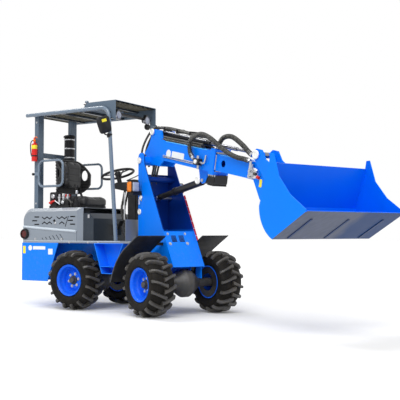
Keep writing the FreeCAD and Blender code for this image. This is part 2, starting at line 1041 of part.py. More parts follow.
def engine_hood():
    """A pressed hood over the engine: a vented shell, round at the rear, open below and in front."""
    hood = document.addObject("Part::Cut", "engine_hood")
    hood.Label = "engine_hood"
    outside = hood_block("hood_outside", size_of(0))
    half = size.hood_half
    cut_all(outside, "XZ_Plane", -half, half, panel_vents() + louvres())
    hood.Base = outside
    hood.Tool = hood_block("hood_inside", size.hood_wall)
    PARTS.append((hood, FreeCAD.Placement()))


def hood_skirt():
    """The proud lower band on both sides of the hood, higher at the rear."""
    body = new_body("hood_skirt")
    rear = size.hood_rear + size.hood_bevel
    front = size.hood_front - size.hood_corner
    outline = [
        (rear, size.deck_top),
        (front, size.deck_top),
        (front, size.skirt_front_top),
        (rear, size.skirt_rear_top),
    ]
    inner, outer = size.hood_half, size.hood_half + size.skirt_proud
    band = plate(body, "XZ_Plane", -outer, -inner, outline)
    mirrored(body, [band])
    cut_all(body, "XZ_Plane", -outer, outer, louvres())


def rear_lamps():
    """A round lamp in each rear corner of the skirt."""
    body = new_body("rear_lamps")
    inner = size.hood_half + size.skirt_proud
    x, z = size.rear_lamp_x, size.rear_lamp_z
    lamp = rod(body, "XZ_Plane", -inner - size.lamp_deep, -inner, x, z, size.lamp_radius)
    mirrored(body, [lamp])


# Seat and console.


def seat_console():
    """The dark box in front of the hood with a recess, and the seat's frame on top of both."""
    body = new_body("seat_console")
    half = size.hood_half - size.hood_corner
    outline = [
        (size.hood_front, size.deck_top),
        (size.console_front, size.deck_top),
        (size.console_front, size.console_top - size.console_slope),
        (size.console_front - size.console_slope, size.console_top),
        (size.hood_front, size.console_top),
    ]
    plate(body, "XZ_Plane", -half, half, outline)
    low, high = size.deck_top + size.console_slope, size.console_top - size.console_slope * 2
    recess = box(size.console_front - size.console_slope, size.console_front, low, high)
    cut(body, "XZ_Plane", -size.console_hole, size.console_hole, recess)
    half = size.seat_half - size.seat_inset
    frame = [
        (size.seat_rear, size.hood_top),
        (size.seat_front - size.seat_inset, size.hood_top),
        (size.seat_front - size.seat_inset, size.seat_low),
        (size.seat_rear, size.seat_low),
    ]
    plate(body, "XZ_Plane", -half, half, frame)


def seat():
    """Cushion and backrest are two pieces on the console's frame."""
    cushion = new_body("seat_cushion")
    nose = size.seat_nose
    outline = [
        (size.seat_rear + size.back_thick, size.seat_low),
        (size.seat_front - nose, size.seat_low),
        (size.seat_front, size.seat_low + nose),
        (size.seat_front - nose, size.seat_low + size.seat_thick - size.seat_dip),
        (size.seat_rear + size.back_thick, size.seat_low + size.seat_thick),
    ]
    pad = plate(cushion, "XZ_Plane", -size.seat_half, size.seat_half, outline)
    side = size.seat_half.value - 1
    rounded(cushion, pad, size.seat_inset / 2, lambda at, way: abs(at.y) > side)
    rest = new_body("seat_backrest")
    lean = size.back_lean
    thick = size.back_thick
    outline = [
        (size.seat_rear, size.seat_low),
        (size.seat_rear + thick, size.seat_low),
        (size.seat_rear + thick, size.back_low),
        (size.seat_rear + thick - lean, size.back_high),
        (size.seat_rear + thick / 2 - lean, size.back_high),
        (size.seat_rear, size.back_low),
    ]
    pad = plate(rest, "XZ_Plane", -size.back_half, size.back_half, outline)
    top, side = size.back_high.value - 1, size.back_half.value - 1
    rounded(rest, pad, size.back_round, lambda at, way: at.z > top and abs(at.y) > side)


# Canopy.


def rear_posts():
    """Two rectangular tubes on the hood and a crossbar between them."""
    body = new_body("canopy_rear_posts")
    half_x, half_y, wall = size.post_long / 2, size.post_wide / 2, size.post_wall
    low_y, high_y = -size.post_y - half_y, -size.post_y + half_y
    low_x, high_x = size.post_x - half_x, size.post_x + half_x
    top = size.roof_low + size.roof_thick - size.roof_wall
    tube = plate(body, "XY_Plane", size.hood_top, top, box(low_x, high_x, low_y, high_y))
    inside = box(low_x + wall, high_x - wall, low_y + wall, high_y - wall)
    hole = cut(body, "XY_Plane", size.hood_top, top, inside)
    mirrored(body, [tube, hole])
    bar = box(size.post_x - half_x / 2, size.post_x + half_x / 2, size.bar_low, size.bar_high)
    plate(body, "XZ_Plane", -size.post_y + half_y, size.post_y - half_y, bar)


def front_posts():
    """Two bent tubes from the deck up and back along the sides of the roof."""
    tubes = []
    for side in (-1, 1):
        points = [
            (size.front_post_x, size.front_post_y * side, size.deck_top + size.front_post_seat),
            (size.front_post_top_x, size.front_post_y * side, size.front_post_tube_z),
            (size.roof_rear, size.front_post_y * side, size.front_post_tube_z),
        ]
        tubes.append(bent_tube(points, [size.front_post_bend], size.front_post_radius))
    new_shape("canopy_front_posts", Part.makeCompound(tubes))


def roof():
    """A pan with a turned-down rim over the operator."""
    body = new_body("canopy_roof")
    half, wall = size.roof_half, size.roof_wall
    top = size.roof_low + size.roof_thick
    plate(body, "XY_Plane", size.roof_low, top, box(size.roof_rear, size.visor_rear, -half, half))
    inside = box(size.roof_rear + wall, size.visor_rear - wall, wall - half, half - wall)
    cut(body, "XY_Plane", size.roof_low, top - wall, inside)


def visor():
    """The raised front of the canopy: a top with two side gussets, open in front."""
    body = new_body("canopy_visor")
    half, wall = size.roof_half, size.visor_wall
    rise = size.visor_high - size.roof_low
    outline = [
        (size.visor_rear, size.roof_low),
        (size.front_post_top_x - size.front_post_bend, size.roof_low),
        (size.visor_front - size.visor_toe, size.visor_low),
        (size.visor_front, size.visor_low),
        (size.visor_front, size.visor_high),
        (size.visor_rear + rise, size.visor_high),
    ]
    plate(body, "XZ_Plane", -half, half, outline)
    inside = [
        (size.visor_rear - wall, size.roof_low - wall * 2),
        (size.visor_front + wall, size.visor_low - wall * 2),
        (size.visor_front + wall, size.visor_high - wall),
        (size.visor_rear + rise + wall, size.visor_high - wall),
        (size.visor_rear + wall * 2, size.roof_low),
    ]
    cut(body, "XZ_Plane", wall - half, half - wall, inside)


def guards():
    """A closed loop beside the seat on the outside of each rear post, held by a clamp."""
    loops = []
    face = size.post_y + size.post_wide / 2
    middle = (size.guard_low + size.guard_high) / 2
    low, high = middle - size.guard_clamp / 2, middle + size.guard_clamp / 2
    for side in (-1, 1):
        lateral = (face + size.guard_radius) * side
        points = [
            (size.guard_rear, lateral, low),
            (size.guard_rear, lateral, size.guard_low),
            (size.guard_front, lateral, size.guard_low),
            (size.guard_front, lateral, size.guard_high),
            (size.guard_rear, lateral, size.guard_high),
            (size.guard_rear, lateral, high),
        ]
        tube = bent_tube(points, [size.guard_bend] * 4, size.guard_radius)
        thick, long = size.guard_radius * 2, size.guard_rear + size.guard_radius - size.post_x
        near = face.value if side > 0 else -face.value - thick.value
        start = Vector(size.post_x.value, near, low.value)
        clamp = Part.makeBox(long.value, thick.value, size.guard_clamp.value, start)
        loops.append(tube.fuse(clamp).removeSplitter())
    new_shape("guard_loops", Part.makeCompound(loops))


def work_lamps():
    """Two lamps under the visor, each on a tab."""
    body = new_body("work_lamps")
    half_x, half_y, half_z = size.work_lamp_deep / 2, size.work_lamp_wide / 2, size.work_lamp_high / 2
    x, y, z = size.work_lamp_x, -size.work_lamp_y, size.work_lamp_z
    face = box(x - half_x, x + half_x, z - half_z, z + half_z)
    lamp = plate(body, "XZ_Plane", y - half_y, y + half_y, face)
    tab_top = size.visor_high - size.visor_wall
    tab = box(x - half_x, x - half_x / 2, z + half_z - size.visor_wall, tab_top)
    stay = plate(body, "XZ_Plane", y - half_y / 2, y + half_y / 2, tab)
    mirrored(body, [lamp, stay])


def mirrors():
    """A mirror on a short arm at each front post."""
    body = new_body("mirrors")
    half_x, half_y = size.mirror_deep / 2, size.mirror_wide / 2
    x, y = size.mirror_x, -size.mirror_y
    low = size.mirror_z - size.mirror_high / 2
    head = plate(
        body,
        "XZ_Plane",
        y - half_y,
        y + half_y,
        box(x - half_x, x + half_x, low, low + size.mirror_high),
    )
    arm_z = low + half_x
    post_face = -size.front_post_y - size.front_post_radius
    arm = rod(body, "XZ_Plane", y, post_face, x, arm_z, size.mirror_arm)
    mirrored(body, [head, arm])


def extinguisher():
    """A fire extinguisher strapped to the outside of the right rear post."""
    reach = size.post_y + size.post_wide / 2 + size.bottle_radius
    body = new_body("fire_extinguisher", move(size.post_x, -reach, size.bottle_low))
    radius, tall = size.bottle_radius, size.bottle_high - size.bottle_low
    neck, shoulder = size.bottle_neck, size.bottle_shoulder
    corners = [
        (0, 0),
        (radius, 0),
        (radius, shoulder),
        (neck, shoulder + size.bottle_slope),
        (neck, tall),
        (0, tall),
    ]
    revolve(body, "XZ_Plane", "Z_Axis", corners)


def air_cleaner():
    """An intake pipe behind the seat with its cyclone canister on top."""
    body = new_body("air_cleaner", move(size.filter_x, size.filter_y, size.hood_top))
    low, high = size.filter_low - size.hood_top, size.filter_high - size.hood_top
    corners = [
        (0, 0),
        (size.stack_radius, 0),
        (size.stack_radius, low - size.stack_radius),
        (size.filter_radius, low),
        (size.filter_radius, high - size.stack_radius),
        (size.filter_radius - size.stack_radius / 2, high),
        (0, high),
    ]
    revolve(body, "XZ_Plane", "Z_Axis", corners)


# Controls.


def dash():
    """The pedestal that carries the steering column."""
    body = new_body("dash_column")
    half = size.dash_half
    ahead, rise = cosine(size.wheel_tilt), sine(size.wheel_tilt)
    seat = size.column_seat
    foot_x = size.wheel_hub_x + rise * size.column_long
    foot_z = size.wheel_hub_z - ahead * size.column_long
    outline = [
        (size.dash_rear, size.deck_top),
        (size.dash_front, size.deck_top),
        (size.dash_front, size.dash_top),
        (size.dash_front - seat, foot_z + rise * seat),
        (foot_x + ahead * seat, foot_z + rise * seat),
        (foot_x - ahead * seat, foot_z - rise * seat),
        (foot_x - ahead * seat + seat / 2, foot_z - rise * seat - seat),
        (size.dash_rear, size.dash_top - size.column_radius),
    ]
    plate(body, "XZ_Plane", -half, half, outline)


def steering_column():
    """A sleeve from the dash head to the steering wheel."""
    place = move(size.wheel_hub_x, 0, size.wheel_hub_z) * turn(LEFT, -size.wheel_tilt.value)
    body = new_body("steering_column", place)
    foot = -size.column_long
    rod(body, "XY_Plane", foot, -size.wheel_hub_high / 2 - size.column_gap, 0, 0, size.column_radius)
    wheel = new_body("steering_wheel", place)
    half = size.wheel_hub_high / 2
    sketch = new_sketch(wheel, "XZ_Plane", 0)
    draw_circle(sketch, size.wheel_ring, 0, size.wheel_grip)
    ring = wheel.newObject("PartDesign::Revolution", "steering_wheel_ring")
    ring.Profile = sketch
    ring.ReferenceAxis = (origin_of(wheel, "Z_Axis"), [""])
    ring.Angle = 360
    wheel.Tip = ring
    rod(wheel, "XY_Plane", -half, half, 0, 0, size.wheel_hub)
    slim = size.wheel_grip / 2
    spoke = plate(wheel, "XY_Plane", -slim / 2, slim / 2, box(0, size.wheel_ring, -slim * 2, slim * 2))
    spokes = wheel.newObject("PartDesign::PolarPattern", "steering_wheel_spokes")
    spokes.Originals = [spoke]
    spokes.Axis = (origin_of(wheel, "Z_Axis"), [""])
    spokes.Angle = 360
    spokes.Occurrences = 3
    wheel.Tip = spokes


def control_stick():
    """A joystick in its boot on the right of the seat."""
    body = new_body("control_stick", move(size.stick_x, -size.stick_y, size.hood_top))
    tall = size.stick_top - size.hood_top
    boot, thin, knob = size.boot_radius, size.stick_radius, size.knob_radius
    corners = [
        (0, 0),
        (boot, 0),
        (size.boot_waist, size.boot_waist_z),
        (thin, size.boot_high),
        (thin, tall - knob * 2),
        (knob, tall - knob),
        (size.knob_top, tall),
        (0, tall),
    ]
    revolve(body, "XZ_Plane", "Z_Axis", corners)


def steps():
    """A folded step hanging from each side of the deck, open outwards, with a tread."""
    body = new_body("steps")
    wall = size.step_wall
    outline = [
        (size.step_rear, size.step_low),
        (size.step_front, size.step_low),
        (size.step_front_top, deck_low),
        (size.step_rear_top, deck_low),
    ]
    block = plate(body, "XZ_Plane", -size.step_out, -size.step_in, outline)
    inside = [
        (size.step_rear + wall, size.step_low + wall),
        (size.step_front - wall, size.step_low + wall),
        (size.step_front_top - wall * 2, deck_low - wall),
        (size.step_rear_top + wall * 2, deck_low - wall),
    ]
    hollow = cut(body, "XZ_Plane", -size.step_out, -size.step_in - wall, inside)
    high = size.step_tread_z
    board = box(size.step_rear - size.step_side, size.step_front + size.step_side, high - wall, high)
    tread = plate(body, "XZ_Plane", -size.step_out, -size.step_in, board)
    mirrored(body, [block, hollow, tread])


# Front frame and mast.


def mast():
    """Two side plates from the axle to the boom's pivot, welded to the webs between them."""
    body = new_body("mast", FRONT)
    half, wall = size.mast_half, size.mast_plate
    seat = size.tyre_radius + size.axle_tube
    foot_rear, foot_front = size.front_base - size.axle_tube, size.front_base + size.axle_tube
    outline = [
        (size.mast_rear, size.mast_low),
        (size.mast_chin_x, size.mast_low),
        (size.mast_chin_x + size.mast_round, size.mast_chin_z),
        (foot_rear, size.mast_chin_z),
        (foot_rear, seat),
        (foot_front, seat),
        (foot_front, size.mast_chin_z),
        (size.mast_nose_x, size.mast_nose_z + size.mast_plate),
        (size.mast_brow_x, size.mast_brow_z),
        (size.mast_brow_x - size.mast_plate, size.mast_top),
        (size.mast_rear, size.mast_top),
    ]
    block = plate(body, "XZ_Plane", -half, half, outline)
    top = size.mast_top.value - 1
    rounded(body, block, size.mast_round, lambda middle, way: abs(way.y) > 0.99 and middle.z > top)
    bulk = box(size.mast_rear - wall, size.mast_nose_x + wall, size.mast_low - wall, size.mast_top + wall)
    cut(body, "XZ_Plane", wall - half, half - wall, bulk)
    for x, z, radius in (
        (size.boom_pivot_x, size.boom_pivot_z, size.boom_pin),
        (size.lift_base_x, size.lift_base_z, size.lift_pin),
    ):
        bore(body, "XZ_Plane", -half, half, x, z, radius)
    add_mast_webs(body)


def add_mast_webs(body):
    """What ties the plates together: back plate, cross tube and the lugs of the lift cylinder."""
    half = size.mast_half - size.mast_plate
    wall = size.cover_wall
    back = box(size.mast_rear, size.mast_rear + wall, size.back_plate_low, size.back_plate_high)
    plate(body, "XZ_Plane", -half, half, back)
    x, z = size.lift_base_x, size.lift_base_z
    reach = size.lift_eye
    inner, outer = size.eye_half + size.eye_gap, size.eye_half + size.eye_gap + size.lift_lug
    ear = plate(body, "XZ_Plane", -outer, -inner, box(size.mast_rear, x + reach, z - reach, z + reach))
    mirrored(body, [ear])
    bore(body, "XZ_Plane", -outer, outer, x, z, size.lift_pin)
    rod(body, "XZ_Plane", -half, half, size.cross_tube_x, size.cross_tube_z, size.cross_tube)


def on_mast_front(z):
    """The X of the mast's sloping front edge at a height."""
    fall = (size.mast_nose_x - size.mast_brow_x) / (size.mast_brow_z - size.mast_nose_z - size.mast_plate)
    return size.mast_nose_x - (z - size.mast_nose_z - size.mast_plate) * fall


def mast_cover():
    """The sloping front cover between the plates, with the shelf on top of it."""
    body = new_body("mast_cover", FRONT)
    half, wall = size.mast_half - size.mast_plate, size.cover_wall
    low, high = size.mast_nose_z + size.mast_plate, size.shelf_z
    outline = [
        (size.mast_nose_x - wall, low),
        (size.mast_nose_x, low),
        (on_mast_front(high), high),
        (size.shelf_x, high),
        (size.shelf_x, high - wall),
        (on_mast_front(high) - wall, high - wall),
    ]
    plate(body, "XZ_Plane", -half, half, outline)


def front_frame():
    """The box between the plates and the tongue that sits between the rear frame's lugs."""
    body = new_body("front_frame", FRONT)
    half = size.mast_half - size.mast_plate
    beam = box(size.mast_rear, size.beam_front, size.beam_low, size.beam_high)
    plate(body, "XZ_Plane", -half, half, beam)
    low = size.lug_low + size.lug_thick + size.pivot_play
    high = size.lug_high - size.lug_thick - size.pivot_play
    side = size.lug_reach
    plate(body, "XY_Plane", low, high, box(0, size.mast_rear + size.frame_wall, -side, side))
    rod(body, "XY_Plane", low, high, 0, 0, side)
    bore(body, "XY_Plane", low, high, 0, 0, size.pin_radius + size.fit)


def mast_pins():
    """The boom's pivot pin and the two halves of the lift rod's pin, with caps outside the plates."""
    body = new_body("mast_pins", FRONT)
    out, cap = size.mast_half, size.pin_cap_thick
    x, z, radius = size.boom_pivot_x, size.boom_pivot_z, size.boom_pin
    rod(body, "XZ_Plane", -out - cap, out + cap, x, z, radius)
    head = rod(body, "XZ_Plane", -out - cap, -out, x, z, radius + cap)
    x, z, radius = size.lift_base_x, size.lift_base_z, size.lift_pin
    eye = size.eye_half + size.eye_gap
    half_pin = rod(body, "XZ_Plane", -out, -eye, x, z, radius)
    half_head = rod(body, "XZ_Plane", -out - cap, -out, x, z, radius + cap)
    mirrored(body, [head, half_pin, half_head])


def fenders():
    """Bent mudguards behind and above the front wheels, each on a bracket."""
    body = new_body("fenders", FRONT)
    wall = size.fender_wall
    tip = (size.fender_tip_x, size.fender_tip_z)
    knee = (size.fender_knee_x, size.fender_knee_z)
    nose = (size.fender_nose_x, size.fender_nose_z)
    outline = [(*tip, size.fender_bow), (nose[0], tip[1]), nose, knee]
    inner = [
        (tip[0] + wall, tip[1] - wall, size.fender_bow),
        (nose[0] + wall, tip[1] - wall),
        (nose[0] + wall, nose[1] - wall),
        (knee[0] + wall, knee[1] - wall),
    ]
    sheet_metal = plate(body, "XZ_Plane", -size.fender_out, -size.fender_in, outline)
    hollow = cut(body, "XZ_Plane", -size.fender_out, -size.fender_in, inner)
    x, z = (knee[0] + nose[0]) / 2, (knee[1] + nose[1]) / 2
    deep = size.fender_bracket
    foot = box(x, x + deep, z - deep, z)
    bracket = plate(body, "XZ_Plane", -size.fender_in - deep, -size.mast_half, foot)
    mirrored(body, [sheet_metal, hollow, bracket])


def head_lamps():
    """Two lamp housings on arms beside the mast."""
    body = new_body("head_lamps", FRONT)
    half_x, half_y, half_z = size.head_lamp_deep / 2, size.head_lamp_wide / 2, size.head_lamp_high / 2
    x, y, z = size.head_lamp_x, -size.head_lamp_y, size.head_lamp_z
    face = box(x - half_x, x + half_x, z - half_z, z + half_z)
    lamp = plate(body, "XZ_Plane", y - half_y, y + half_y, face)
    low = z - half_z
    reach = box(x - size.lamp_arm, x + size.lamp_arm, low, low + size.lamp_arm)
    arm = plate(body, "XZ_Plane", y + half_y - size.lamp_arm, -size.mast_half, reach)
    mirrored(body, [lamp, arm])


# Boom.


def outer_boom():
    """The fixed box of the boom: tail plates with their bosses, box, front collar and lift lugs."""
    body = new_body("outer_boom", BOOM)
    half, wall = size.boom_half, size.boom_wall
    low, high = size.boom_low, size.boom_high
    plate(body, "XZ_Plane", -half, half, box(size.boom_rear, size.boom_front, low, high))
    front = size.boom_front + size.collar_long / 2
    collar = box(front - size.collar_long, front, size.collar_low, size.collar_high)
    plate(body, "XZ_Plane", -size.collar_half, size.collar_half, collar)
    inside = box(size.boom_rear - wall, front + wall, low + wall, high - wall)
    cut(body, "XZ_Plane", wall - half, half - wall, inside)
    boss = size.tail_boss
    outline = [
        (size.tail_rear, size.tail_rear_z),
        (boss, -size.tail_drop),
        (size.boom_rear - boss, -size.tail_drop),
        (size.boom_rear + wall, low),
        (size.boom_rear + wall, high),
        (size.boom_rear - boss, high + wall * 2),
        (size.boom_rear - boss * 2, size.tail_top),
        (size.tilt_base_x + size.tail_horn, size.tail_top),
        (size.tilt_base_x - size.tail_horn, size.tail_top - size.tail_horn / 2),
        (size.tilt_base_x - size.tail_horn, high),
        (-boss, size.tail_neck_z),
    ]
    side = plate(body, "XZ_Plane", -half, -half + size.tail_plate, outline)
    mirrored(body, [side])
    across = size.mast_half - size.mast_plate - size.side_play
    rod(body, "XZ_Plane", -across, across, 0, 0, boss)
    bore(body, "XZ_Plane", -across, across, 0, 0, size.boom_pin + size.fit)
    bore(body, "XZ_Plane", -half, half, size.tilt_base_x, size.tilt_base_z, size.tilt_pin)
    inner, outer = size.eye_half + size.eye_gap, size.eye_half + size.eye_gap + size.lift_lug
    x, z = size.lift_eye_x, size.lift_eye_z
    ear = [
        (x - size.lift_ear_root, low + wall / 2),
        (x - size.lift_eye, z - size.lift_ear_drop),
        (x, z - size.lift_eye),
        (x + size.lift_eye, z - size.lift_ear_drop),
        (x + size.lift_ear_root, low + wall / 2),
    ]
    ears = plate(body, "XZ_Plane", -outer, -inner, ear)
    mirrored(body, [ears])
    bore(body, "XZ_Plane", -outer, outer, x, z, size.lift_pin)


def boom_pins():
    """The tilt cylinder's base pin across the tail, and the lift cylinder's pin across its ears."""
    body = new_body("boom_pins", BOOM)
    cap = size.pin_cap_thick
    out = size.boom_half
    rod(body, "XZ_Plane", -out - cap, out + cap, size.tilt_base_x, size.tilt_base_z, size.tilt_pin)
    ear = size.eye_half + size.eye_gap + size.lift_lug
    rod(body, "XZ_Plane", -ear - cap, ear + cap, size.lift_eye_x, size.lift_eye_z, size.lift_pin)


def slide_pads():
    """Wear pads between the two boxes, inside the collar."""
    body = new_body("slide_pads", BOOM)
    wall, gap = size.boom_wall, size.pad_gap
    front = size.boom_front + size.collar_long / 2
    low, high = size.boom_low + wall, size.boom_high - wall
    inner_high = size.inner_low + size.inner_high
    half = size.inner_half - size.boom_wall
    rear = front - size.collar_long
    plate(body, "XZ_Plane", -half, half, box(rear, front, low, size.inner_low - gap))
    plate(body, "XZ_Plane", -half, half, box(rear, front, inner_high + gap, high))
    middle = box(rear, front, size.inner_low + wall, inner_high - wall)
    side = plate(body, "XZ_Plane", wall - size.boom_half, -size.inner_half - gap, middle)
    mirrored(body, [side])


def hose_housing():
    """The closed guide under the front of the box, where the hoses turn."""
    body = new_body("hose_housing", BOOM)
    outline = box(size.housing_rear, size.housing_front, size.housing_low, size.collar_low)
    block = plate(body, "XZ_Plane", -size.housing_half, size.housing_half, outline)
    low = size.housing_low.value + 1
    rounded(body, block, size.tail_boss / 2, lambda at, way: abs(way.y) > 0.99 and at.z < low)


def boom_pipes():
    """Steel pipes along the right side of the boom, from the tail to the fittings."""
    tubes = []
    out = -size.boom_half - size.pipe_radius - size.pad_gap / 2
    for number in range(int(size.pipe_count.value)):
        z = size.pipe_z - size.pipe_step * number
        points = [
            (size.boom_rear, out, z),
            (size.pipe_front - size.pipe_step * number, out, z),
        ]
        start, end = (Vector(*[size_of(value).value for value in point]) for point in points)
        tubes.append(Part.makeCylinder(size.pipe_radius.value, (end - start).Length, start, end - start))
    new_shape("boom_pipes", Part.makeCompound(tubes), BOOM)


def inner_boom():
    """The sliding box of the boom, with an inspection slot through its sides."""
    body = new_body("inner_boom", INNER)
    half, wall = size.inner_half, size.inner_wall
    low, high = size.inner_low, size.inner_low + size.inner_high
    plate(body, "XZ_Plane", -half, half, box(0, size.inner_long, low, high))
    inside = box(-wall, size.inner_long + wall, low + wall, high - wall)
    cut(body, "XZ_Plane", wall - half, half - wall, inside)
    x, z = size.slot_x, (low + high) / 2
    bore(body, "XZ_Plane", -half, half, x, z, size.slot_high / 2)
    add_boom_head(body)


def add_boom_head(body):
    """The gooseneck at the end of the inner box, with the pin that the hitch tilts on."""
    low, high = size.inner_low, size.inner_low + size.inner_high
    x, z, reach = size.tilt_pivot_x, size.tilt_pivot_z, size.head_reach
    root = size.inner_long - reach * 2
    outline = [
        (root, low),
        (size.head_heel_x - size.head_step, low),
        (size.head_heel_x, size.head_heel_z),
        (size.head_heel_x + reach, size.head_heel_z - size.head_toe),
        (x + size.head_boss, z - size.head_toe),
        (x + size.head_toe, z + size.head_toe),
        (size.inner_long + reach, high),
        (root, high),
    ]
    inner, outer = size.head_half, size.head_half + size.head_plate
    side = plate(body, "XZ_Plane", -outer, -inner, outline)
    mirrored(body, [side])
    end = size.inner_long
    plate(body, "XZ_Plane", -inner, inner, box(end, end + size.head_plate, low, high))
    across = size.hitch_arm - size.side_play
    rod(body, "XZ_Plane", -across, across, x, z, size.head_boss)
    out = size.hitch_arm + size.hitch_plate + size.pad_gap
    rod(body, "XZ_Plane", -out - size.pin_cap_thick, out + size.pin_cap_thick, x, z, size.tilt_pivot_pin)


def hose_coupler():
    """The auxiliary coupler block on the right of the boom's end, with two nipples."""
    body = new_body("hose_coupler", INNER)
    low = size.inner_low + size.inner_wall
    side = size.head_half + size.head_plate
    x = size.inner_long
    block = box(x - size.coupler_wide, x, low, low + size.coupler_high)
    plate(body, "XZ_Plane", -side - size.coupler_long / 2, -side, block)
    for number in (1, 3):
        z = low + size.coupler_high * number / 4
        middle = x - size.coupler_wide / 2
        rod(body, "XZ_Plane", -side - size.coupler_long, -side, middle, z, size.coupler_radius)


# Quick hitch and bucket.


def quick_hitch():
    """The carrier that tilts on the boom's head and holds the bucket by its face plate."""
    body = new_body("quick_hitch", BUCKET)
    wall, pin = size.hitch_plate, size.tilt_pivot_pin
    x, z, reach = size.rod_pin_x, size.rod_pin_z, size.horn_reach
    shoulder = size.hitch_shoulder
    outline = [
        (-size.hitch_boss, 0),
        (0, -size.hitch_boss),
        (size.hitch_toe_x, -size.hitch_toe_z),
        (size.hitch_face, size.hitch_low),
        (size.hitch_face, shoulder),
        (x + size.horn_front, z - reach * 2),
        (x + size.horn_front, z),
        (x + size.horn_tip, z + reach),
        (x - size.horn_tip, z + reach),
        (x - reach, z),
        (-shoulder, shoulder),
    ]
    inner, outer = size.hitch_arm, size.hitch_arm + wall
    side = plate(body, "XZ_Plane", -outer, -inner, outline)
    hole = bore(body, "XZ_Plane", -outer, -inner, 0, 0, pin + size.fit)
    boss = rod(body, "XZ_Plane", -inner, -size.eye_half - size.eye_gap, x, z, size.tilt_eye)
    cap = rod(body, "XZ_Plane", -outer - size.pin_cap_thick, -outer, x, z, size.tilt_eye)
    mirrored(body, [side, hole, boss, cap])
    face = box(size.hitch_face - wall, size.hitch_face, size.hitch_low, shoulder)
    plate(body, "XZ_Plane", -size.hitch_half, size.hitch_half, face)


def back_at(z):
    """The X of the bucket's bowed back at a height, on the parabola next to its arc."""
    half = (size.back_knee_z - size.floor_z) / 2
    off = (z - size.floor_z) / half - 1
    chord = size.heel_x + (size.back_x - size.heel_x) * (off + 1) / 2
    return chord - half * half / (size.back_bow * 2) * (1 - off * off)


def bucket():
    """A bent shell with hooks for the hitch, two side plates, the cutting edge and wear strips."""
    wall = size.bucket_wall
    side = size.bucket_half - size.bucket_side
    start = size.edge_x - size.edge_long
    shell = new_body("bucket_shell", BUCKET)
    outline = [
        (start, size.floor_z),
        (start, size.floor_z + wall),
        (size.heel_x + wall, size.floor_z + wall),
        (size.back_x + wall, size.back_knee_z, wall - size.back_bow),
        (size.lip_x + wall, size.lip_z - wall / 2),
        (size.lip_x, size.lip_z + wall / 2),
        (size.back_x, size.back_knee_z + wall / 2),
        (size.heel_x, size.floor_z, size.back_bow),
    ]
    plate(shell, "XZ_Plane", -side, side, outline)
    sides = new_body("bucket_sides", BUCKET)
    outline = [
        (size.back_x, size.back_knee_z + wall / 2),
        (size.heel_x, size.floor_z, size.back_bow),
        (size.edge_x - size.edge_thick, size.floor_z),
        (size.edge_x, size.floor_z + size.edge_thick),
        (size.jaw_x, size.jaw_z),
        (size.throat_x, size.throat_z),
        (size.ear_x, size.ear_z),
        (size.ear_x - size.edge_thick * 2, size.ear_z + size.edge_thick),
        (size.lip_x, size.lip_z + wall / 2),
    ]
    cheek = plate(sides, "XZ_Plane", -size.bucket_half, -side, outline)
    mirrored(sides, [cheek])
    edge = new_body("cutting_edge", BUCKET)
    outline = [
        (start, size.floor_z),
        (size.edge_x, size.floor_z),
        (size.edge_x - size.edge_thick, size.floor_z + size.edge_thick),
        (start, size.floor_z + size.edge_thick),
    ]
    plate(edge, "XZ_Plane", -side, side, outline)
    strips = new_body("wear_strips", BUCKET)
    strip = box(size.heel_x + size.strip_set, start - wall, size.floor_z - size.strip_thick, size.floor_z)
    for number in (-1, 0, 1):
        y = size.strip_pitch * number
        plate(strips, "XZ_Plane", y - size.strip_wide / 2, y + size.strip_wide / 2, strip)
    low_z = size.hitch_low - size.hook_drop
    slope = (size.lip_z - size.back_knee_z) / (size.lip_x - size.back_x)
    far_x = size.back_x + size.hook_half
    far_z = size.back_knee_z + slope * size.hook_half + wall / 2
    outline = [
        (size.hitch_face, low_z),
        (back_at(low_z) + wall / 2, low_z),
        (size.back_x, size.back_knee_z + wall / 2),
        (far_x, far_z),
        (size.hitch_face + size.hook_top, size.hitch_shoulder),
        (size.hitch_face, size.hitch_shoulder),
    ]
    out = size.hitch_half - size.hitch_plate
    hook = plate(shell, "XZ_Plane", -out, -out + size.hook_plate, outline)
    mirrored(shell, [hook])


# Cylinders. Each barrel's own X runs from its base pin to the eye of its rod.


def cylinder_place(group, base, eye):
    """The placement of a cylinder in its group's frame, and its length from pin to pin."""
    base = Vector(*[size_of(value).value for value in base])
    reach = eye - base
    angle = math.degrees(math.atan2(reach.z, reach.x))
    return group * move(base.x, base.y, base.z) * turn(LEFT, -angle), reach.Length


def barrel(label, place, radius, long, eye, pin):
    """A barrel with its base eye and a gland."""
    body = new_body(label, place)
    rod(body, "XZ_Plane", -size.eye_half, size.eye_half, 0, 0, eye)
    neck = eye * size.neck_reach
    rod(body, "YZ_Plane", eye / 2, neck, 0, 0, size.eye_half - size.eye_gap)
    rod(body, "YZ_Plane", neck, long, 0, 0, radius)
    rod(body, "YZ_Plane", long - radius, long, 0, 0, radius + size.gland)
    bore(body, "XZ_Plane", -radius - eye, radius + eye, 0, 0, pin + size.fit)
    return body


def hollow_barrel(body, start, end, radius):
    """Open a barrel or a stage for the rod that slides in it."""
    bore(body, "YZ_Plane", start, end, 0, 0, radius + size.fit * 2)


def piston_rod(label, place, radius, start, length, eye):
    """A chromed rod with its eye at the end of the cylinder's length."""
    body = new_body(label, place)
    rod(body, "YZ_Plane", start, length - eye / 2, 0, 0, radius)
    rod(body, "XZ_Plane", -size.eye_half, size.eye_half, length, 0, eye)
    bore(body, "XZ_Plane", -size.eye_half, size.eye_half, length, 0, size.lift_pin)


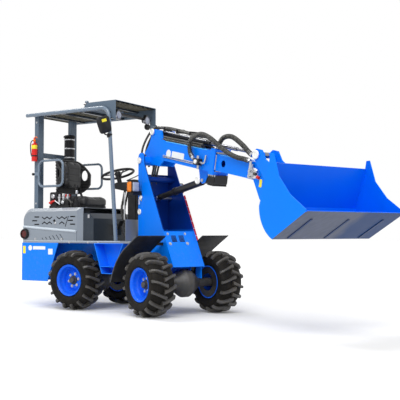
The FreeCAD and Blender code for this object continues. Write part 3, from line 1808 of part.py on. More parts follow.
def cylinders():
    """The lift cylinder from the boom down to the mast, and the two-stage tilt cylinder on the boom."""
    to_front = FRONT.inverse() * BOOM
    eye = to_front.multVec(Vector(size.lift_eye_x.value, 0, size.lift_eye_z.value))
    foot = Vector(size.lift_base_x.value, 0, size.lift_base_z.value)
    place, length = cylinder_place(FRONT, eye, foot)
    long = size.lift_barrel_long
    body = barrel("lift_barrel", place, size.lift_barrel, long, size.lift_eye, size.lift_pin)
    start = size.lift_eye * size.neck_reach + size.barrel_wall
    hollow_barrel(body, start, long, size.lift_rod)
    piston_rod("lift_rod", place, size.lift_rod, long - size.lift_overlap, length, size.lift_eye)

    to_boom = BOOM.inverse() * BUCKET
    eye = to_boom.multVec(Vector(size.rod_pin_x.value, 0, size.rod_pin_z.value))
    place, length = cylinder_place(BOOM, (size.tilt_base_x, 0, size.tilt_base_z), eye)
    long = size.tilt_barrel_long
    body = barrel("tilt_barrel", place, size.tilt_barrel, long, size.tilt_eye, size.tilt_pin)
    start = size.tilt_eye * size.neck_reach + size.barrel_wall
    hollow_barrel(body, start, long, size.tilt_stage)
    stage = new_body("tilt_stage", place)
    stage_end = long + size.tilt_stage_out
    rod(stage, "YZ_Plane", start + size.tilt_stage_out + size.stage_back, stage_end, 0, 0, size.tilt_stage)
    hollow_barrel(stage, start, stage_end, size.tilt_rod)
    piston_rod("tilt_rod", place, size.tilt_rod, stage_end - size.tilt_overlap, length, size.tilt_eye)


wheels()
rear_frame()
rear_body()
counterweight()
tow_hitch()
deck()
engine_block()
engine_hood()
hood_skirt()
rear_lamps()
seat_console()
seat()
rear_posts()
front_posts()
roof()
visor()
guards()
work_lamps()
mirrors()
extinguisher()
air_cleaner()
dash()
steering_column()
control_stick()
steps()
mast()
mast_cover()
front_frame()
mast_pins()
fenders()
head_lamps()
outer_boom()
boom_pins()
slide_pads()
hose_housing()
boom_pipes()
inner_boom()
hose_coupler()
quick_hitch()
bucket()
cylinders()
document.recompute()

for feature in document.Objects:
    if any(word in ("Invalid", "Error") for word in feature.State):
        raise RuntimeError(f"{feature.Name} failed: {feature.State}")

# The origin goes to the middle of the bounding box, on the ground.
for feature, place in PARTS:
    feature.Placement = place
whole = Part.makeCompound([feature.Shape for feature, _ in PARTS]).BoundBox
shift = move(-(whole.XMin + whole.XMax) / 2, -(whole.YMin + whole.YMax) / 2, -whole.ZMin)
os.makedirs("parts", exist_ok=True)
for feature, place in PARTS:
    feature.Placement = shift * place
    shape = feature.Shape
    if shape.isNull() or not shape.isValid() or not shape.Solids:
        raise RuntimeError(f"{feature.Label} has no valid solid")
    shape.exportStep(f"parts/{feature.Label}.step")
    print(feature.Label, len(shape.Solids), round(shape.Volume))
print("shift", [round(value, 4) for value in shift.Base])
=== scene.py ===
"""The looks of a small articulated wheel loader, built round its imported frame.

Pieces are drawn in the machine's own frames, in metres. REAR and FRONT have their origin on the ground under
the steering pivot, with X forward along that frame. BOOM lies at the boom's pivot with X along the boom, and
INNER is the same moved along to the sliding box. BUCKET lies at the tilt pivot, with X along the bucket's
floor. Y is always to the left and Z up.
"""

import json
import math

import bmesh
import bpy
import numpy as np
from mathutils import Matrix, Vector


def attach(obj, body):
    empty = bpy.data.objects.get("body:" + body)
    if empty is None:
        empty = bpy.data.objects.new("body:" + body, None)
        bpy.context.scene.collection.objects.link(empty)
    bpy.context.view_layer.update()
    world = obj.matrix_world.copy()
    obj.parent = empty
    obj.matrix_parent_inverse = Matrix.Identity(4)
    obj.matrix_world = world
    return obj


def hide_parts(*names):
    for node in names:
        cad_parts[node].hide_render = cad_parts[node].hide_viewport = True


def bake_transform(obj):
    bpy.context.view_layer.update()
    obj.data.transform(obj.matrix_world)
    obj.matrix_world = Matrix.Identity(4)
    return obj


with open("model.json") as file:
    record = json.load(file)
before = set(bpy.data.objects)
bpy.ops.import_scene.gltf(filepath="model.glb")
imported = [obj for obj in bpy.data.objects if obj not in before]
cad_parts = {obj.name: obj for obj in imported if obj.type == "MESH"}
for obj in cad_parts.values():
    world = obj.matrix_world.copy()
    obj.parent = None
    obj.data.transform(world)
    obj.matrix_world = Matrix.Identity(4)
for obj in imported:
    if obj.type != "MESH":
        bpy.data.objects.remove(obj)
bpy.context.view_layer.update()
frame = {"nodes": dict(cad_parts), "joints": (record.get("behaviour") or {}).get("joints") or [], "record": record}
NODES = frame["nodes"]
JOINTS = {joint["name"]: joint for joint in frame["joints"]}
TURN = 2 * math.pi
SIDES = ((-1, "right"), (1, "left"))


# ---------------------------------------------------------------- frames


def placed(origin, x_axis, y_axis):
    """A 4 by 4 placement from an origin, its X axis and its Y axis."""
    x_axis, y_axis = np.array(x_axis, float), np.array(y_axis, float)
    matrix = np.eye(4)
    matrix[:3, 0] = x_axis
    matrix[:3, 1] = y_axis
    matrix[:3, 2] = np.cross(x_axis, y_axis)
    matrix[:3, 3] = origin
    return matrix


def moved(x, y, z):
    """A placement that only moves."""
    return placed((x, y, z), (1, 0, 0), (0, 1, 0))


def turned(axis, degrees):
    """A placement that only turns, by the right-hand rule about X, Y or Z."""
    return np.array(Matrix.Rotation(math.radians(degrees), 4, axis))


def span(side, near, far):
    """Two distances from the middle plane as low and high Y, on one side of the machine."""
    return sorted((side * near, side * far))


# how far the sliding box's origin lies along the boom, and how much the bucket's floor leans at rest
BOOM_REACH = 0.62
BUCKET_ANGLE = 28.8

pivot = JOINTS["articulation"]["pos_m"]
left = -np.array(JOINTS["boom_lift"]["axis"])
REAR = moved(pivot[0], pivot[1], 0)
FRONT = placed((pivot[0], pivot[1], 0), np.cross(left, (0, 0, 1)), left)
BOOM = placed(JOINTS["boom_lift"]["pos_m"], JOINTS["telescope_slide"]["axis"], left)
INNER = BOOM @ moved(BOOM_REACH, 0, 0)
BUCKET = placed(JOINTS["bucket_tilt"]["pos_m"], FRONT[:3, 0], left) @ turned("Y", -BUCKET_ANGLE)
REAR_BODY, FRONT_BODY = "rear_frame", "front_frame"
ON_REAR, ON_FRONT = (REAR_BODY, REAR), (FRONT_BODY, FRONT)
ON_BOOM, ON_INNER = ("boom", BOOM), ("telescope", INNER)
ON_BARREL, ON_BUCKET = ("tilt_barrel", BOOM), ("bucket", BUCKET)
WHEELS = {
    "rear_right": (REAR, 1),
    "rear_left": (REAR, -1),
    "front_right": (FRONT, 1),
    "front_left": (FRONT, -1),
}


def wheel_place(name):
    """A wheel's own frame: its origin at the hub, Y along the axle, and its dished side towards -Y."""
    group, side = WHEELS[name]
    place = placed(JOINTS[f"wheel_{name}_spin"]["pos_m"], group[:3, 0], group[:3, 1])
    return place @ turned("Z", 0 if side > 0 else 180)


# ---------------------------------------------------------------- finishes


class Field:
    """A socket's value that takes part in Python arithmetic: each operator adds its Math node."""

    def __init__(self, finish, socket):
        self.finish = finish
        self.socket = socket

    def maths(self, operation, *values, clamp=False):
        """One Math node on these values."""
        settings = {"operation": operation, "use_clamp": clamp}
        return self.finish.add("ShaderNodeMath", settings, dict(enumerate(values)))

    def __add__(self, other):
        return self.maths("ADD", self, other)

    def __sub__(self, other):
        return self.maths("SUBTRACT", self, other)

    def __rsub__(self, other):
        return self.maths("SUBTRACT", other, self)

    def __mul__(self, other):
        return self.maths("MULTIPLY", self, other)

    def __gt__(self, other):
        return self.maths("GREATER_THAN", self, other)

    def __lt__(self, other):
        return self.maths("LESS_THAN", self, other)

    def __abs__(self):
        return self.maths("ABSOLUTE", self)

    __radd__ = __add__
    __rmul__ = __mul__

    def between(self, low, high):
        """0 below low, 1 above high, straight between them."""
        return self.maths("MULTIPLY", self - low, 1 / (high - low), clamp=True)


class Finish:
    """A material whose nodes are written as expressions."""

    def __init__(self, name, colour, roughness, **fixed):
        self.material = bpy.data.materials.new(name)
        self.material.use_nodes = True
        self.tree = self.material.node_tree
        self.tree.nodes.clear()
        self.shader = self.tree.nodes.new("ShaderNodeBsdfPrincipled")
        self.output = self.tree.nodes.new("ShaderNodeOutputMaterial")
        self.tree.links.new(self.shader.outputs[0], self.output.inputs[0])
        self.set("Base Color", (*colour, 1))
        self.set("Roughness", roughness)
        for socket, value in fixed.items():
            self.set(socket.replace("_", " ").title(), value)

    def put(self, socket, value):
        """Links a field into a socket, or sets a plain value on it."""
        if isinstance(value, Field):
            self.tree.links.new(value.socket, socket)
        else:
            socket.default_value = value

    def set(self, name, value):
        """A value or field for one socket of the surface shader."""
        self.put(self.shader.inputs[name], value)

    def add(self, kind, settings, inputs, output=0):
        """One node: its settings first, then the values or links of its sockets."""
        node = self.tree.nodes.new(kind)
        for name, value in settings.items():
            setattr(node, name, value)
        for name, value in inputs.items():
            self.put(node.inputs[name], value)
        return Field(self, node.outputs[output])

    def place(self, stretch=(1, 1, 1)):
        """The piece's own coordinates, stretched along each axis."""
        where = self.add("ShaderNodeTexCoord", {}, {}, "Object")
        return self.add("ShaderNodeMapping", {}, {"Vector": where, "Scale": stretch})

    def along(self, place, axis):
        """How far the surface lies along one axis of a placement, in metres from its origin."""
        way = place[:3, axis]
        settings = {"operation": "DOT_PRODUCT"}
        inputs = {0: self.add("ShaderNodeTexCoord", {}, {}, "Object"), 1: tuple(way)}
        reach = self.add("ShaderNodeVectorMath", settings, inputs, "Value")
        return reach - float(way @ place[:3, 3])

    def noise(self, scale, detail=3, where=None, roughness=0.5):
        """A cloudy pattern from 0 to 1 with this many features to a metre."""
        inputs = {"Scale": scale, "Detail": detail, "Roughness": roughness}
        inputs["Vector"] = where or self.place()
        return self.add("ShaderNodeTexNoise", {}, inputs)

    def cells(self, scale):
        """The distance to the nearest edge of a pattern of cells."""
        inputs = {"Scale": scale, "Vector": self.place()}
        return self.add("ShaderNodeTexVoronoi", {"feature": "DISTANCE_TO_EDGE"}, inputs)

    def waves(self, scale, direction):
        """Sine bands across an axis."""
        settings = {"wave_type": "BANDS", "bands_direction": direction}
        return self.add("ShaderNodeTexWave", settings, {"Scale": scale, "Vector": self.place()})

    def axis(self, name):
        """One of the object's own coordinates, in metres."""
        return self.add("ShaderNodeSeparateXYZ", {}, {0: self.place()}, name)

    def blend(self, share, first, second):
        """A colour between two colours."""
        inputs = {0: share, 6: first, 7: second}
        for number in (6, 7):
            if isinstance(inputs[number], tuple):
                inputs[number] = (*inputs[number], 1)
        return self.add("ShaderNodeMix", {"data_type": "RGBA"}, inputs, 2)

    def bump(self, height, strength=0.3, depth=0.001):
        """Raises the surface by a field."""
        inputs = {"Height": height, "Strength": strength, "Distance": depth}
        self.set("Normal", self.add("ShaderNodeBump", {}, inputs))


ROAD_DUST = (0.23, 0.2, 0.165)


def dark(colour, share):
    """A colour times a share."""
    return tuple(part * share for part in colour)


def paint(name, colour, roughness=0.3, dust=0.25, coat=0.05, shine=0.3):
    """Sprayed paint: slight cloudiness, orange peel, dulled patches, and road dust near the ground."""
    finish = Finish(name, colour, roughness, coat_weight=coat, coat_roughness=0.12)
    finish.set("Specular IOR Level", shine)
    cloud = finish.noise(3.0, 4)
    tone = finish.blend(cloud, dark(colour, 0.9), dark(colour, 1.08))
    height = finish.axis("Z")
    low = 1 - height.between(0.1, 1.3)
    speckle = finish.noise(38, 8, roughness=0.7).between(0.5, 0.75)
    share = low * speckle * dust + low * low * (dust * 0.25)
    finish.set("Base Color", finish.blend(share, tone, ROAD_DUST))
    finish.set("Roughness", finish.noise(9, 5) * 0.12 + share * 0.5 + (roughness - 0.06))
    finish.bump(finish.noise(420, 2), 0.06, 0.0006)
    return finish.material


def rough_plastic(name, colour, roughness=0.5):
    """Moulded plastic with a fine leathery grain and slightly greyed faces."""
    finish = Finish(name, colour, roughness)
    finish.set("Specular IOR Level", 0.22)
    worn = finish.noise(14, 6).between(0.45, 0.8)
    finish.set("Base Color", finish.blend(worn, colour, tuple(part * 1.5 + 0.01 for part in colour)))
    finish.set("Roughness", finish.noise(30, 3) * 0.15 + (roughness - 0.07))
    finish.bump(finish.cells(900), 0.25, 0.0005)
    return finish.material


def steel(name, colour, roughness, brushed=(40, 40, 40), metallic=1.0):
    """Bare or plated steel with fine lines and faint smudges."""
    finish = Finish(name, colour, roughness, metallic=metallic)
    lines = finish.noise(24, 3, finish.place(brushed))
    smudge = finish.noise(12, 4)
    finish.set("Base Color", finish.blend(smudge, dark(colour, 0.86), colour))
    finish.set("Roughness", lines * 0.12 + smudge * 0.1 + (roughness - 0.08))
    finish.bump(lines, 0.05, 0.0004)
    return finish.material


def tyre_rubber(name, lift=1.0, shine=0.09):
    """Vulcanised rubber, browned by earth in its hollows, with fine mould lines; lift brightens all its colours,
    and the lugs' lifted copy is painted light.
    """
    finish = Finish(name, (0.012, 0.011, 0.01), 0.5)
    finish.set("Specular IOR Level", shine)
    earth = finish.noise(11, 8, roughness=0.65).between(0.46, 0.8)
    fine = finish.noise(90, 4).between(0.35, 0.75)
    tone = finish.blend(fine, dark((0.007, 0.0066, 0.006), lift), dark((0.015, 0.0135, 0.012), lift))
    finish.set("Base Color", finish.blend(earth * 0.35, tone, dark((0.05, 0.04, 0.03), lift)))
    finish.set("Roughness", finish.noise(40, 3) * 0.25 + 0.42)
    finish.bump(finish.noise(260, 4), 0.25, 0.0008)
    return finish.material


def vinyl(name):
    """Black embossed seat vinyl: pebbled grain, a soft sheen and dust in the folds."""
    finish = Finish(name, (0.014, 0.014, 0.015), 0.42)
    patch = finish.noise(8, 5).between(0.4, 0.85)
    finish.set("Base Color", finish.blend(patch, (0.011, 0.011, 0.012), (0.03, 0.03, 0.032)))
    finish.set("Roughness", finish.noise(20, 4) * 0.2 + 0.34)
    finish.bump(finish.cells(420) + finish.noise(900, 2) * 0.3, 0.35, 0.0007)
    return finish.material


def lens(name, colour):
    """A moulded lamp lens with slanting flutes."""
    finish = Finish(name, colour, 0.16, coat_weight=0.15, coat_roughness=0.08)
    finish.set("Specular IOR Level", 0.35)
    flutes = finish.waves(60, "DIAGONAL")
    finish.set("Base Color", finish.blend(flutes, dark(colour, 0.6), colour))
    finish.bump(flutes, 0.4, 0.0012)
    return finish.material


def iron(name):
    """Cast housing in thin black paint with road dirt."""
    colour = (0.03, 0.03, 0.031)
    finish = Finish(name, colour, 0.5)
    dirt = finish.noise(16, 7, roughness=0.7).between(0.42, 0.8)
    finish.set("Base Color", finish.blend(dirt * 0.6, colour, (0.1, 0.085, 0.07)))
    finish.set("Roughness", dirt * 0.3 + 0.4)
    finish.bump(finish.noise(240, 5), 0.35, 0.0012)
    return finish.material


def guard_sleeve(name):
    """Black spiral guard over a hose: the spiral itself is in the mesh, here are its scuffs, whose lighter patches
    also stand for painted highlights.
    """
    finish = Finish(name, (0.012, 0.012, 0.013), 0.38)
    # lighter patches: partly real scuffs, partly painted highlight on the hoses
    scuff_and_sheen = finish.noise(45, 6, roughness=0.65).between(0.42, 0.72)
    finish.set("Base Color", finish.blend(scuff_and_sheen, (0.01, 0.01, 0.01), (0.12, 0.118, 0.105)))
    finish.set("Roughness", scuff_and_sheen * 0.25 + 0.32)
    return finish.material


def reflector(name):
    """Red reflecting tape with narrow pale bars and a fine honeycomb."""
    finish = Finish(name, (0.7, 0.02, 0.02), 0.3)
    bars = finish.waves(4.0, "Z") > 0.985
    comb = finish.cells(160).between(0.0, 0.12)
    tone = finish.blend(comb, (0.5, 0.02, 0.02), (0.75, 0.03, 0.025))
    finish.set("Base Color", finish.blend(bars, tone, (0.8, 0.72, 0.7)))
    return finish.material


def clean_paint(name, colour):
    """Sprayed paint without dust: the finish, its cloud and its tone, to be varied further."""
    finish = Finish(name, colour, 0.34)
    finish.set("Specular IOR Level", 0.12)
    cloud = finish.noise(3.0, 4)
    tone = finish.blend(cloud, dark(colour, 0.92), dark(colour, 1.04))
    finish.set("Roughness", finish.noise(9, 5) * 0.12 + 0.28)
    finish.bump(finish.noise(420, 2), 0.06, 0.0006)
    return finish, cloud, tone


# how far the bucket's inner sides and the mast's outer faces lie from the middle, and how high the
# underside of the bucket's floor lies from its pivot
BUCKET_INSIDE, MAST_HALF = 0.566, 0.2
BUCKET_UNDER = -0.6075


def bucket_paint_and_shade(name, colour):
    """The bucket's paint: painted shade between its sides, where the blue is darker, and slate with a navy patch
    under its scraped floor.
    """
    finish, cloud, tone = clean_paint(name, colour)
    across = finish.along(BUCKET, 1)
    # painted shade: the faces between the bucket's sides take a darker blue than its outside
    inner = 1 - abs(across).between(BUCKET_INSIDE, BUCKET_INSIDE + 0.0005)
    tone = finish.blend(inner, tone, finish.blend(cloud, (0.0, 0.125, 0.76), (0.0, 0.15, 0.86)))
    scrape = finish.noise(30, 5, finish.place((0.15, 1, 1)))
    slate = finish.blend(scrape, (0.062, 0.075, 0.12), (0.12, 0.14, 0.2))
    patch = (across + finish.noise(2.2, 3) * 0.5).between(0.3, 0.42)
    slate = finish.blend(patch, slate, (0.005, 0.038, 0.14))
    under = finish.along(BUCKET, 2) < BUCKET_UNDER
    finish.set("Base Color", finish.blend(under, tone, slate))
    return finish.material


def mast_paint_and_shade(name, colour):
    """The mast's paint: bright outside, and painted shade between its plates, a dark navy that stands for the
    shade there.
    """
    finish, cloud, tone = clean_paint(name, colour)
    # painted shade: between the plates, from about 0.86 to 1.9 m high, the blue turns to a dark navy that stands
    # for the shade there
    inside = 1 - abs(finish.along(FRONT, 1)).between(MAST_HALF - 0.0025, MAST_HALF - 0.0005)
    height = finish.axis("Z")
    deep = inside * (1 - height.between(1.66, 1.9)) * height.between(0.86, 0.9)
    navy = finish.blend(cloud, (0.002, 0.02, 0.13), (0.003, 0.04, 0.3))
    finish.set("Base Color", finish.blend(deep, tone, navy))
    return finish.material


BLUE = (0.0, 0.2, 0.95)
GREY = (0.2, 0.235, 0.28)
SLATE = (0.1, 0.14, 0.19)
DEEP_SLATE = (0.022, 0.032, 0.046)

finishes = {
    "blue_paint": paint("blue_paint", BLUE, shine=0.12),
    "mast_blue": mast_paint_and_shade("mast_blue", BLUE),
    "bucket_blue": bucket_paint_and_shade("bucket_blue", BLUE),
    "strip_blue": paint("strip_blue", (0.004, 0.03, 0.12), shine=0.15),
    # a lighter blue for the beads along the boom's upper edges: painted highlight
    "edge_blue": paint("edge_blue", (0.04, 0.42, 1.0), 0.25, 0.1, 0.3, 0.4),
    "blue_rim": paint("blue_rim", (0.0, 0.12, 0.8), 0.34, 0.15, 0.05, 0.15),
    "grey_paint": paint("grey_paint", GREY, 0.34, 0.15, 0.7, 0.5),
    "slate_paint": paint("slate_paint", SLATE, 0.36, 0.15),
    "black_steel": paint("black_steel", (0.012, 0.012, 0.014), 0.34, 0.15),
    "black_plastic": rough_plastic("black_plastic", (0.012, 0.012, 0.013)),
    "tyre_rubber": tyre_rubber("tyre_rubber"),
    # the lugs take the same rubber lifted 2.8 times lighter: painted light on the lugs against the darker carcass
    "lug_rubber": tyre_rubber("lug_rubber", 2.8, 0.8),
    "iron": iron("iron"),
    "chrome_rod": steel("chrome_rod", (0.3, 0.3, 0.33), 0.24, (4, 60, 60)),
    "bare_steel": steel("bare_steel", (0.55, 0.56, 0.58), 0.34),
    "seat_vinyl": vinyl("seat_vinyl"),
    "red_paint": paint("red_paint", (0.62, 0.016, 0.012), 0.3, 0.1),
    "lamp_lens": lens("lamp_lens", (0.42, 0.46, 0.56)),
    "amber_lens": lens("amber_lens", (0.95, 0.25, 0.005)),
    "red_lens": lens("red_lens", (0.1, 0.006, 0.006)),
    "pad_nylon": rough_plastic("pad_nylon", (0.5, 0.46, 0.34), 0.45),
    "hose_guard": guard_sleeve("hose_guard"),
    "label_yellow": paint("label_yellow", (0.85, 0.72, 0.04), 0.4, 0.05),
    "label_white": paint("label_white", (0.78, 0.8, 0.82), 0.4, 0.05),
    # near-black for the mast cover's slots and the sheet behind the hood's vents: painted shade
    "dark_hollow": rough_plastic("dark_hollow", (0.006, 0.006, 0.007), 0.8),
    "roof_liner": rough_plastic("roof_liner", (0.07, 0.064, 0.042), 0.7),
    "deep_slate": paint("deep_slate", DEEP_SLATE, 0.36, 0.12),
    "tube_paint": paint("tube_paint", dark(SLATE, 1.25), 0.26, 0.12, 0.7, 0.5),
    "orange_paint": paint("orange_paint", (0.8, 0.16, 0.01), 0.35, 0.05),
    "bright_plate": steel("bright_plate", (0.9, 0.9, 0.88), 0.34, (30, 30, 30), 0.35),
    # a light grey for the lip and strip under the hood: painted highlight
    "edge_trim": paint("edge_trim", (0.5, 0.56, 0.62), 0.35, 0.1),
    "fender_trim": rough_plastic("fender_trim", (0.06, 0.065, 0.07), 0.4),
    "reflector_red": reflector("reflector_red"),
    "mirror_glass": steel("mirror_glass", (0.8, 0.82, 0.84), 0.1, (4, 4, 4)),
    "seat_shell": rough_plastic("seat_shell", (0.02, 0.02, 0.021), 0.42),
    "seat_trim": rough_plastic("seat_trim", (0.035, 0.035, 0.037), 0.35),
}

# the plain solids take the finish that their record names, and these take another
slots = {part["node"]: part["material_slot"] for part in frame["record"]["subparts"]}
slots.update(canopy_roof="deep_slate", canopy_front_posts="tube_paint", guard_loops="tube_paint")
slots.update(seat_console="deep_slate", mast="mast_blue", wear_strips="strip_blue")
slots.update(bucket_shell="bucket_blue", bucket_sides="bucket_blue", cutting_edge="bucket_blue")
for label, node in NODES.items():
    node.data.materials.clear()
    node.data.materials.append(finishes[slots[label]])


# ---------------------------------------------------------------- surfaces


def at(points, place):
    """Points of any grid shape carried from a frame into the machine's."""
    points = np.asarray(points, float)
    return points @ place[:3, :3].T + place[:3, 3]


def quads(rows, columns, around_rows=False, around_columns=False, start=0):
    """Faces of a grid: each joins four neighbouring points, wrapping where the grid closes on itself."""
    row = np.arange(rows if around_rows else rows - 1)
    column = np.arange(columns if around_columns else columns - 1)
    row, column = (part.ravel() for part in np.meshgrid(row, column, indexing="ij"))
    next_row, next_column = (row + 1) % rows, (column + 1) % columns
    corners = (row * columns + column, next_row * columns + column)
    corners += (next_row * columns + next_column, row * columns + next_column)
    return np.stack(corners, 1) + start


class Shape:
    """Points and faces gathered from several surfaces, for one piece."""

    def __init__(self):
        self.points, self.faces, self.count = [], [], 0

    def grid(self, points, around_rows=False, around_columns=False, flip=False):
        """A grid of points as a surface."""
        rows, columns = points.shape[:2]
        faces = quads(rows, columns, around_rows, around_columns, self.count)
        if flip:
            faces = faces[:, ::-1]
        self.points.append(points.reshape(-1, 3))
        self.faces.extend(faces.tolist())
        self.count += rows * columns
        return self

    def cap(self, loop, flip=False):
        """One flat face over a closed loop of points."""
        order = range(self.count, self.count + len(loop))
        self.faces.append(list(reversed(order)) if flip else list(order))
        self.points.append(np.asarray(loop, float))
        self.count += len(loop)
        return self

    def made(self, name, finish, body, place, smooth=True, sharp=35):
        """The piece itself: one mesh on a body, with its doubles merged and its faces outwards."""
        points = at(np.concatenate(self.points), place)
        mesh = bpy.data.meshes.new(name)
        mesh.from_pydata(points.tolist(), [], self.faces)
        return piece(name, mesh, finish, body, smooth, sharp)


def piece(name, mesh, finish, body, smooth=True, sharp=35):
    """A mesh as a finished object: merged, its normals outwards, shaded, painted, and on its body if any."""
    work = bmesh.new()
    work.from_mesh(mesh)
    bmesh.ops.remove_doubles(work, verts=work.verts, dist=1e-5)
    bmesh.ops.recalc_face_normals(work, faces=work.faces)
    work.to_mesh(mesh)
    work.free()
    mesh.polygons.foreach_set("use_smooth", [smooth] * len(mesh.polygons))
    if smooth and sharp < 180:
        mesh.set_sharp_from_angle(angle=math.radians(sharp))
    mesh.materials.append(finishes[finish])
    thing = bpy.data.objects.new(name, mesh)
    bpy.context.scene.collection.objects.link(thing)
    if body:
        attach(thing, body)
    return thing


def bevelled(thing, width):
    """Rounds the edges of a piece by a live bevel."""
    bevel = thing.modifiers.new("edges", "BEVEL")
    bevel.width, bevel.segments, bevel.limit_method = width, 2, "ANGLE"
    bevel.angle_limit = math.radians(30)
    bevel.harden_normals = True
    return thing


def lathe(profile, steps=64, axis="Y"):
    """A profile of (radius, height) turned about an axis: for Y the point is (r cos t, height, r sin t)."""
    profile = np.asarray(profile, float)
    angle = np.arange(steps) / steps * TURN
    radius, height = profile[:, 0][:, None], profile[:, 1][:, None] + 0 * angle
    across, up = radius * np.cos(angle), radius * np.sin(angle)
    parts = {"X": (height, across, up), "Y": (across, height, up), "Z": (across, up, height)}
    return np.stack(parts[axis], -1)


def turned_piece(name, profile, finish, body, place, steps=64, axis="Y"):
    """A turned piece whose open ends on the axis are closed."""
    profile = [(0, profile[0][1]), *profile, (0, profile[-1][1])]
    shape = Shape().grid(lathe(profile, steps, axis), around_columns=True)
    return shape.made(name, finish, body, place)


def smooth_path(points, count):
    """A path through a few points: each span is a cubic whose slopes follow its neighbours (Catmull-Rom)."""
    points = np.asarray(points, float)
    padded = np.concatenate([[2 * points[0] - points[1]], points, [2 * points[-1] - points[-2]]])
    share = np.linspace(0, len(points) - 1, count)
    span = np.minimum(share.astype(int), len(points) - 2)
    t = (share - span)[:, None]
    before, first, last, after = (padded[span + step] for step in range(4))
    return 0.5 * (
        2 * first
        + (last - before) * t
        + (2 * before - 5 * first + 4 * last - after) * t**2
        + (3 * first - before - 3 * last + after) * t**3
    )


def frames_along(path):
    """Two unit directions square to a path at each of its points, carried along it without twist."""
    path = np.asarray(path, float)
    tangent = np.gradient(path, axis=0)
    tangent /= np.linalg.norm(tangent, axis=1)[:, None]
    seed = np.array((0, 0, 1.0)) if abs(tangent[0, 2]) < 0.9 else np.array((0, 1.0, 0))
    side = np.cross(tangent[0], seed)
    sides = [side / np.linalg.norm(side)]
    for way in tangent[1:]:
        side = sides[-1] - way * np.dot(sides[-1], way)
        sides.append(side / np.linalg.norm(side))
    sides = np.array(sides)
    return sides, np.cross(tangent, sides)


def hose(path, radius, sides, rib, pitch):
    """A tube along a path: the circle's radius swells by rib along a spiral of the given pitch."""
    path = np.asarray(path, float)
    first, second = frames_along(path)
    run = np.concatenate([[0], np.cumsum(np.linalg.norm(np.diff(path, axis=0), axis=1))])
    angle = np.arange(sides) / sides * TURN
    spiral = np.cos(run[:, None] / pitch * TURN - angle)
    reach = radius * (1 + rib * np.clip(spiral * 2, -1, 1))
    ring = np.cos(angle)[:, None] * first[:, None, :] + np.sin(angle)[:, None] * second[:, None, :]
    return path[:, None, :] + reach[..., None] * ring


def tube_piece(name, path, radius, finish, body, place=None, sides=10, rib=0.0, pitch=0.012):
    """A tube with closed ends along a path."""
    points = hose(path, radius, sides, rib, pitch)
    shape = Shape().grid(points, around_columns=True).cap(points[0]).cap(points[-1])
    return shape.made(name, finish, body, place, sharp=60)


def bent(name, points, count, radius, finish, body, place, sides=10, rib=0.0, pitch=0.012):
    """A tube along the smooth path through a few points, worked out at count places."""
    return tube_piece(name, smooth_path(points, count), radius, finish, body, place, sides, rib, pitch)


def prism(outline, low, high, axis):
    """An outline carried from low to high along X, Y or Z: its points hold the other two coordinates."""
    outline = np.asarray(outline, float)
    first, second = outline[:, 0], outline[:, 1]
    layers = []
    for level in (low, high):
        flat = np.full(len(outline), float(level))
        order = {"X": (flat, first, second), "Y": (first, flat, second), "Z": (first, second, flat)}
        layers.append(np.stack(order[axis], -1))
    return np.array(layers)


def plate_piece(name, outline, low, high, finish, body, place, axis, bevel):
    """A plate cut to an outline, with its edges broken."""
    layers = prism(outline, low, high, axis)
    shape = Shape().grid(layers, around_columns=True).cap(layers[0]).cap(layers[1])
    thing = shape.made(name, finish, body, place, smooth=False)
    return bevelled(thing, bevel) if bevel else thing


def rectangle(low_x, high_x, low_y, high_y, corner=0.0, steps=4):
    """The outline of a rectangle, its corners rounded."""
    if not corner:
        return [(low_x, low_y), (high_x, low_y), (high_x, high_y), (low_x, high_y)]
    centres = (
        (high_x - corner, high_y - corner, 0),
        (low_x + corner, high_y - corner, 1),
        (low_x + corner, low_y + corner, 2),
        (high_x - corner, low_y + corner, 3),
    )
    arcs = []
    for x, y, quarter in centres:
        angle = np.linspace(0, TURN / 4, steps + 1) + quarter * TURN / 4
        arcs.append(np.stack((x + corner * np.cos(angle), y + corner * np.sin(angle)), 1))
    return np.concatenate(arcs)


def bolts(name, centres, direction, size, body, place):
    """Hexagon heads of bare steel with washers at several places, all standing along one direction."""
    direction = np.array(direction, float) / np.linalg.norm(direction)
    side = np.cross(direction, (0.31, 0.72, 0.62))
    side /= np.linalg.norm(side)
    other = np.cross(direction, side)
    shape = Shape()
    washer, head = (size * 1.5, -0.0005, size * 0.22, 16), (size, size * 0.1, size * 0.85, 6)
    for reach, low, high, count in (washer, head):
        angle = np.arange(count) / count * TURN
        ring = np.cos(angle)[:, None] * side + np.sin(angle)[:, None] * other
        for centre in np.asarray(centres, float):
            rows = [(reach, low), (reach, high * 0.86), (reach * 0.86, high)]
            points = np.array([centre + ring * radius + direction * level for radius, level in rows])
            shape.grid(points, around_columns=True).cap(points[-1])
    return shape.made(name, "bare_steel", body, place, sharp=25)


# ---------------------------------------------------------------- wheels


TYRE_RADIUS, TYRE_HALF, BEAD = 0.33, 0.15, 0.1524
WALL_MIDDLE, BEAD_ANGLE = 0.2285, 2.36
LUG_COUNT, LUG_HIGH = 16, 0.03


def squared(value, power):
    """A sine or cosine raised to a power with its sign kept, which squares off a circle."""
    return np.sign(value) * np.abs(value) ** power


def carcass(share):
    """The tyre's section without lugs: (radius, y) for share from -1 at the left bead to 1 at the right one.

    A squared oval, the cosine and sine of an angle each raised to a power: the tread is nearly flat, the
    shoulder is tight and the wall bulges above the bead.
    """
    angle = np.asarray(share, float) * BEAD_ANGLE
    flat = squared(np.cos(angle), 0.72)
    wide = squared(np.sin(angle), 0.8)
    reach = TYRE_RADIUS - LUG_HIGH - WALL_MIDDLE
    return WALL_MIDDLE + reach * flat, wide * (TYRE_HALF - 0.013)


def ridge(share, middle, width):
    """A raised ring on the tyre's wall, as a bell curve round its middle."""
    return np.exp(-(((np.abs(share) - middle) / width) ** 2))


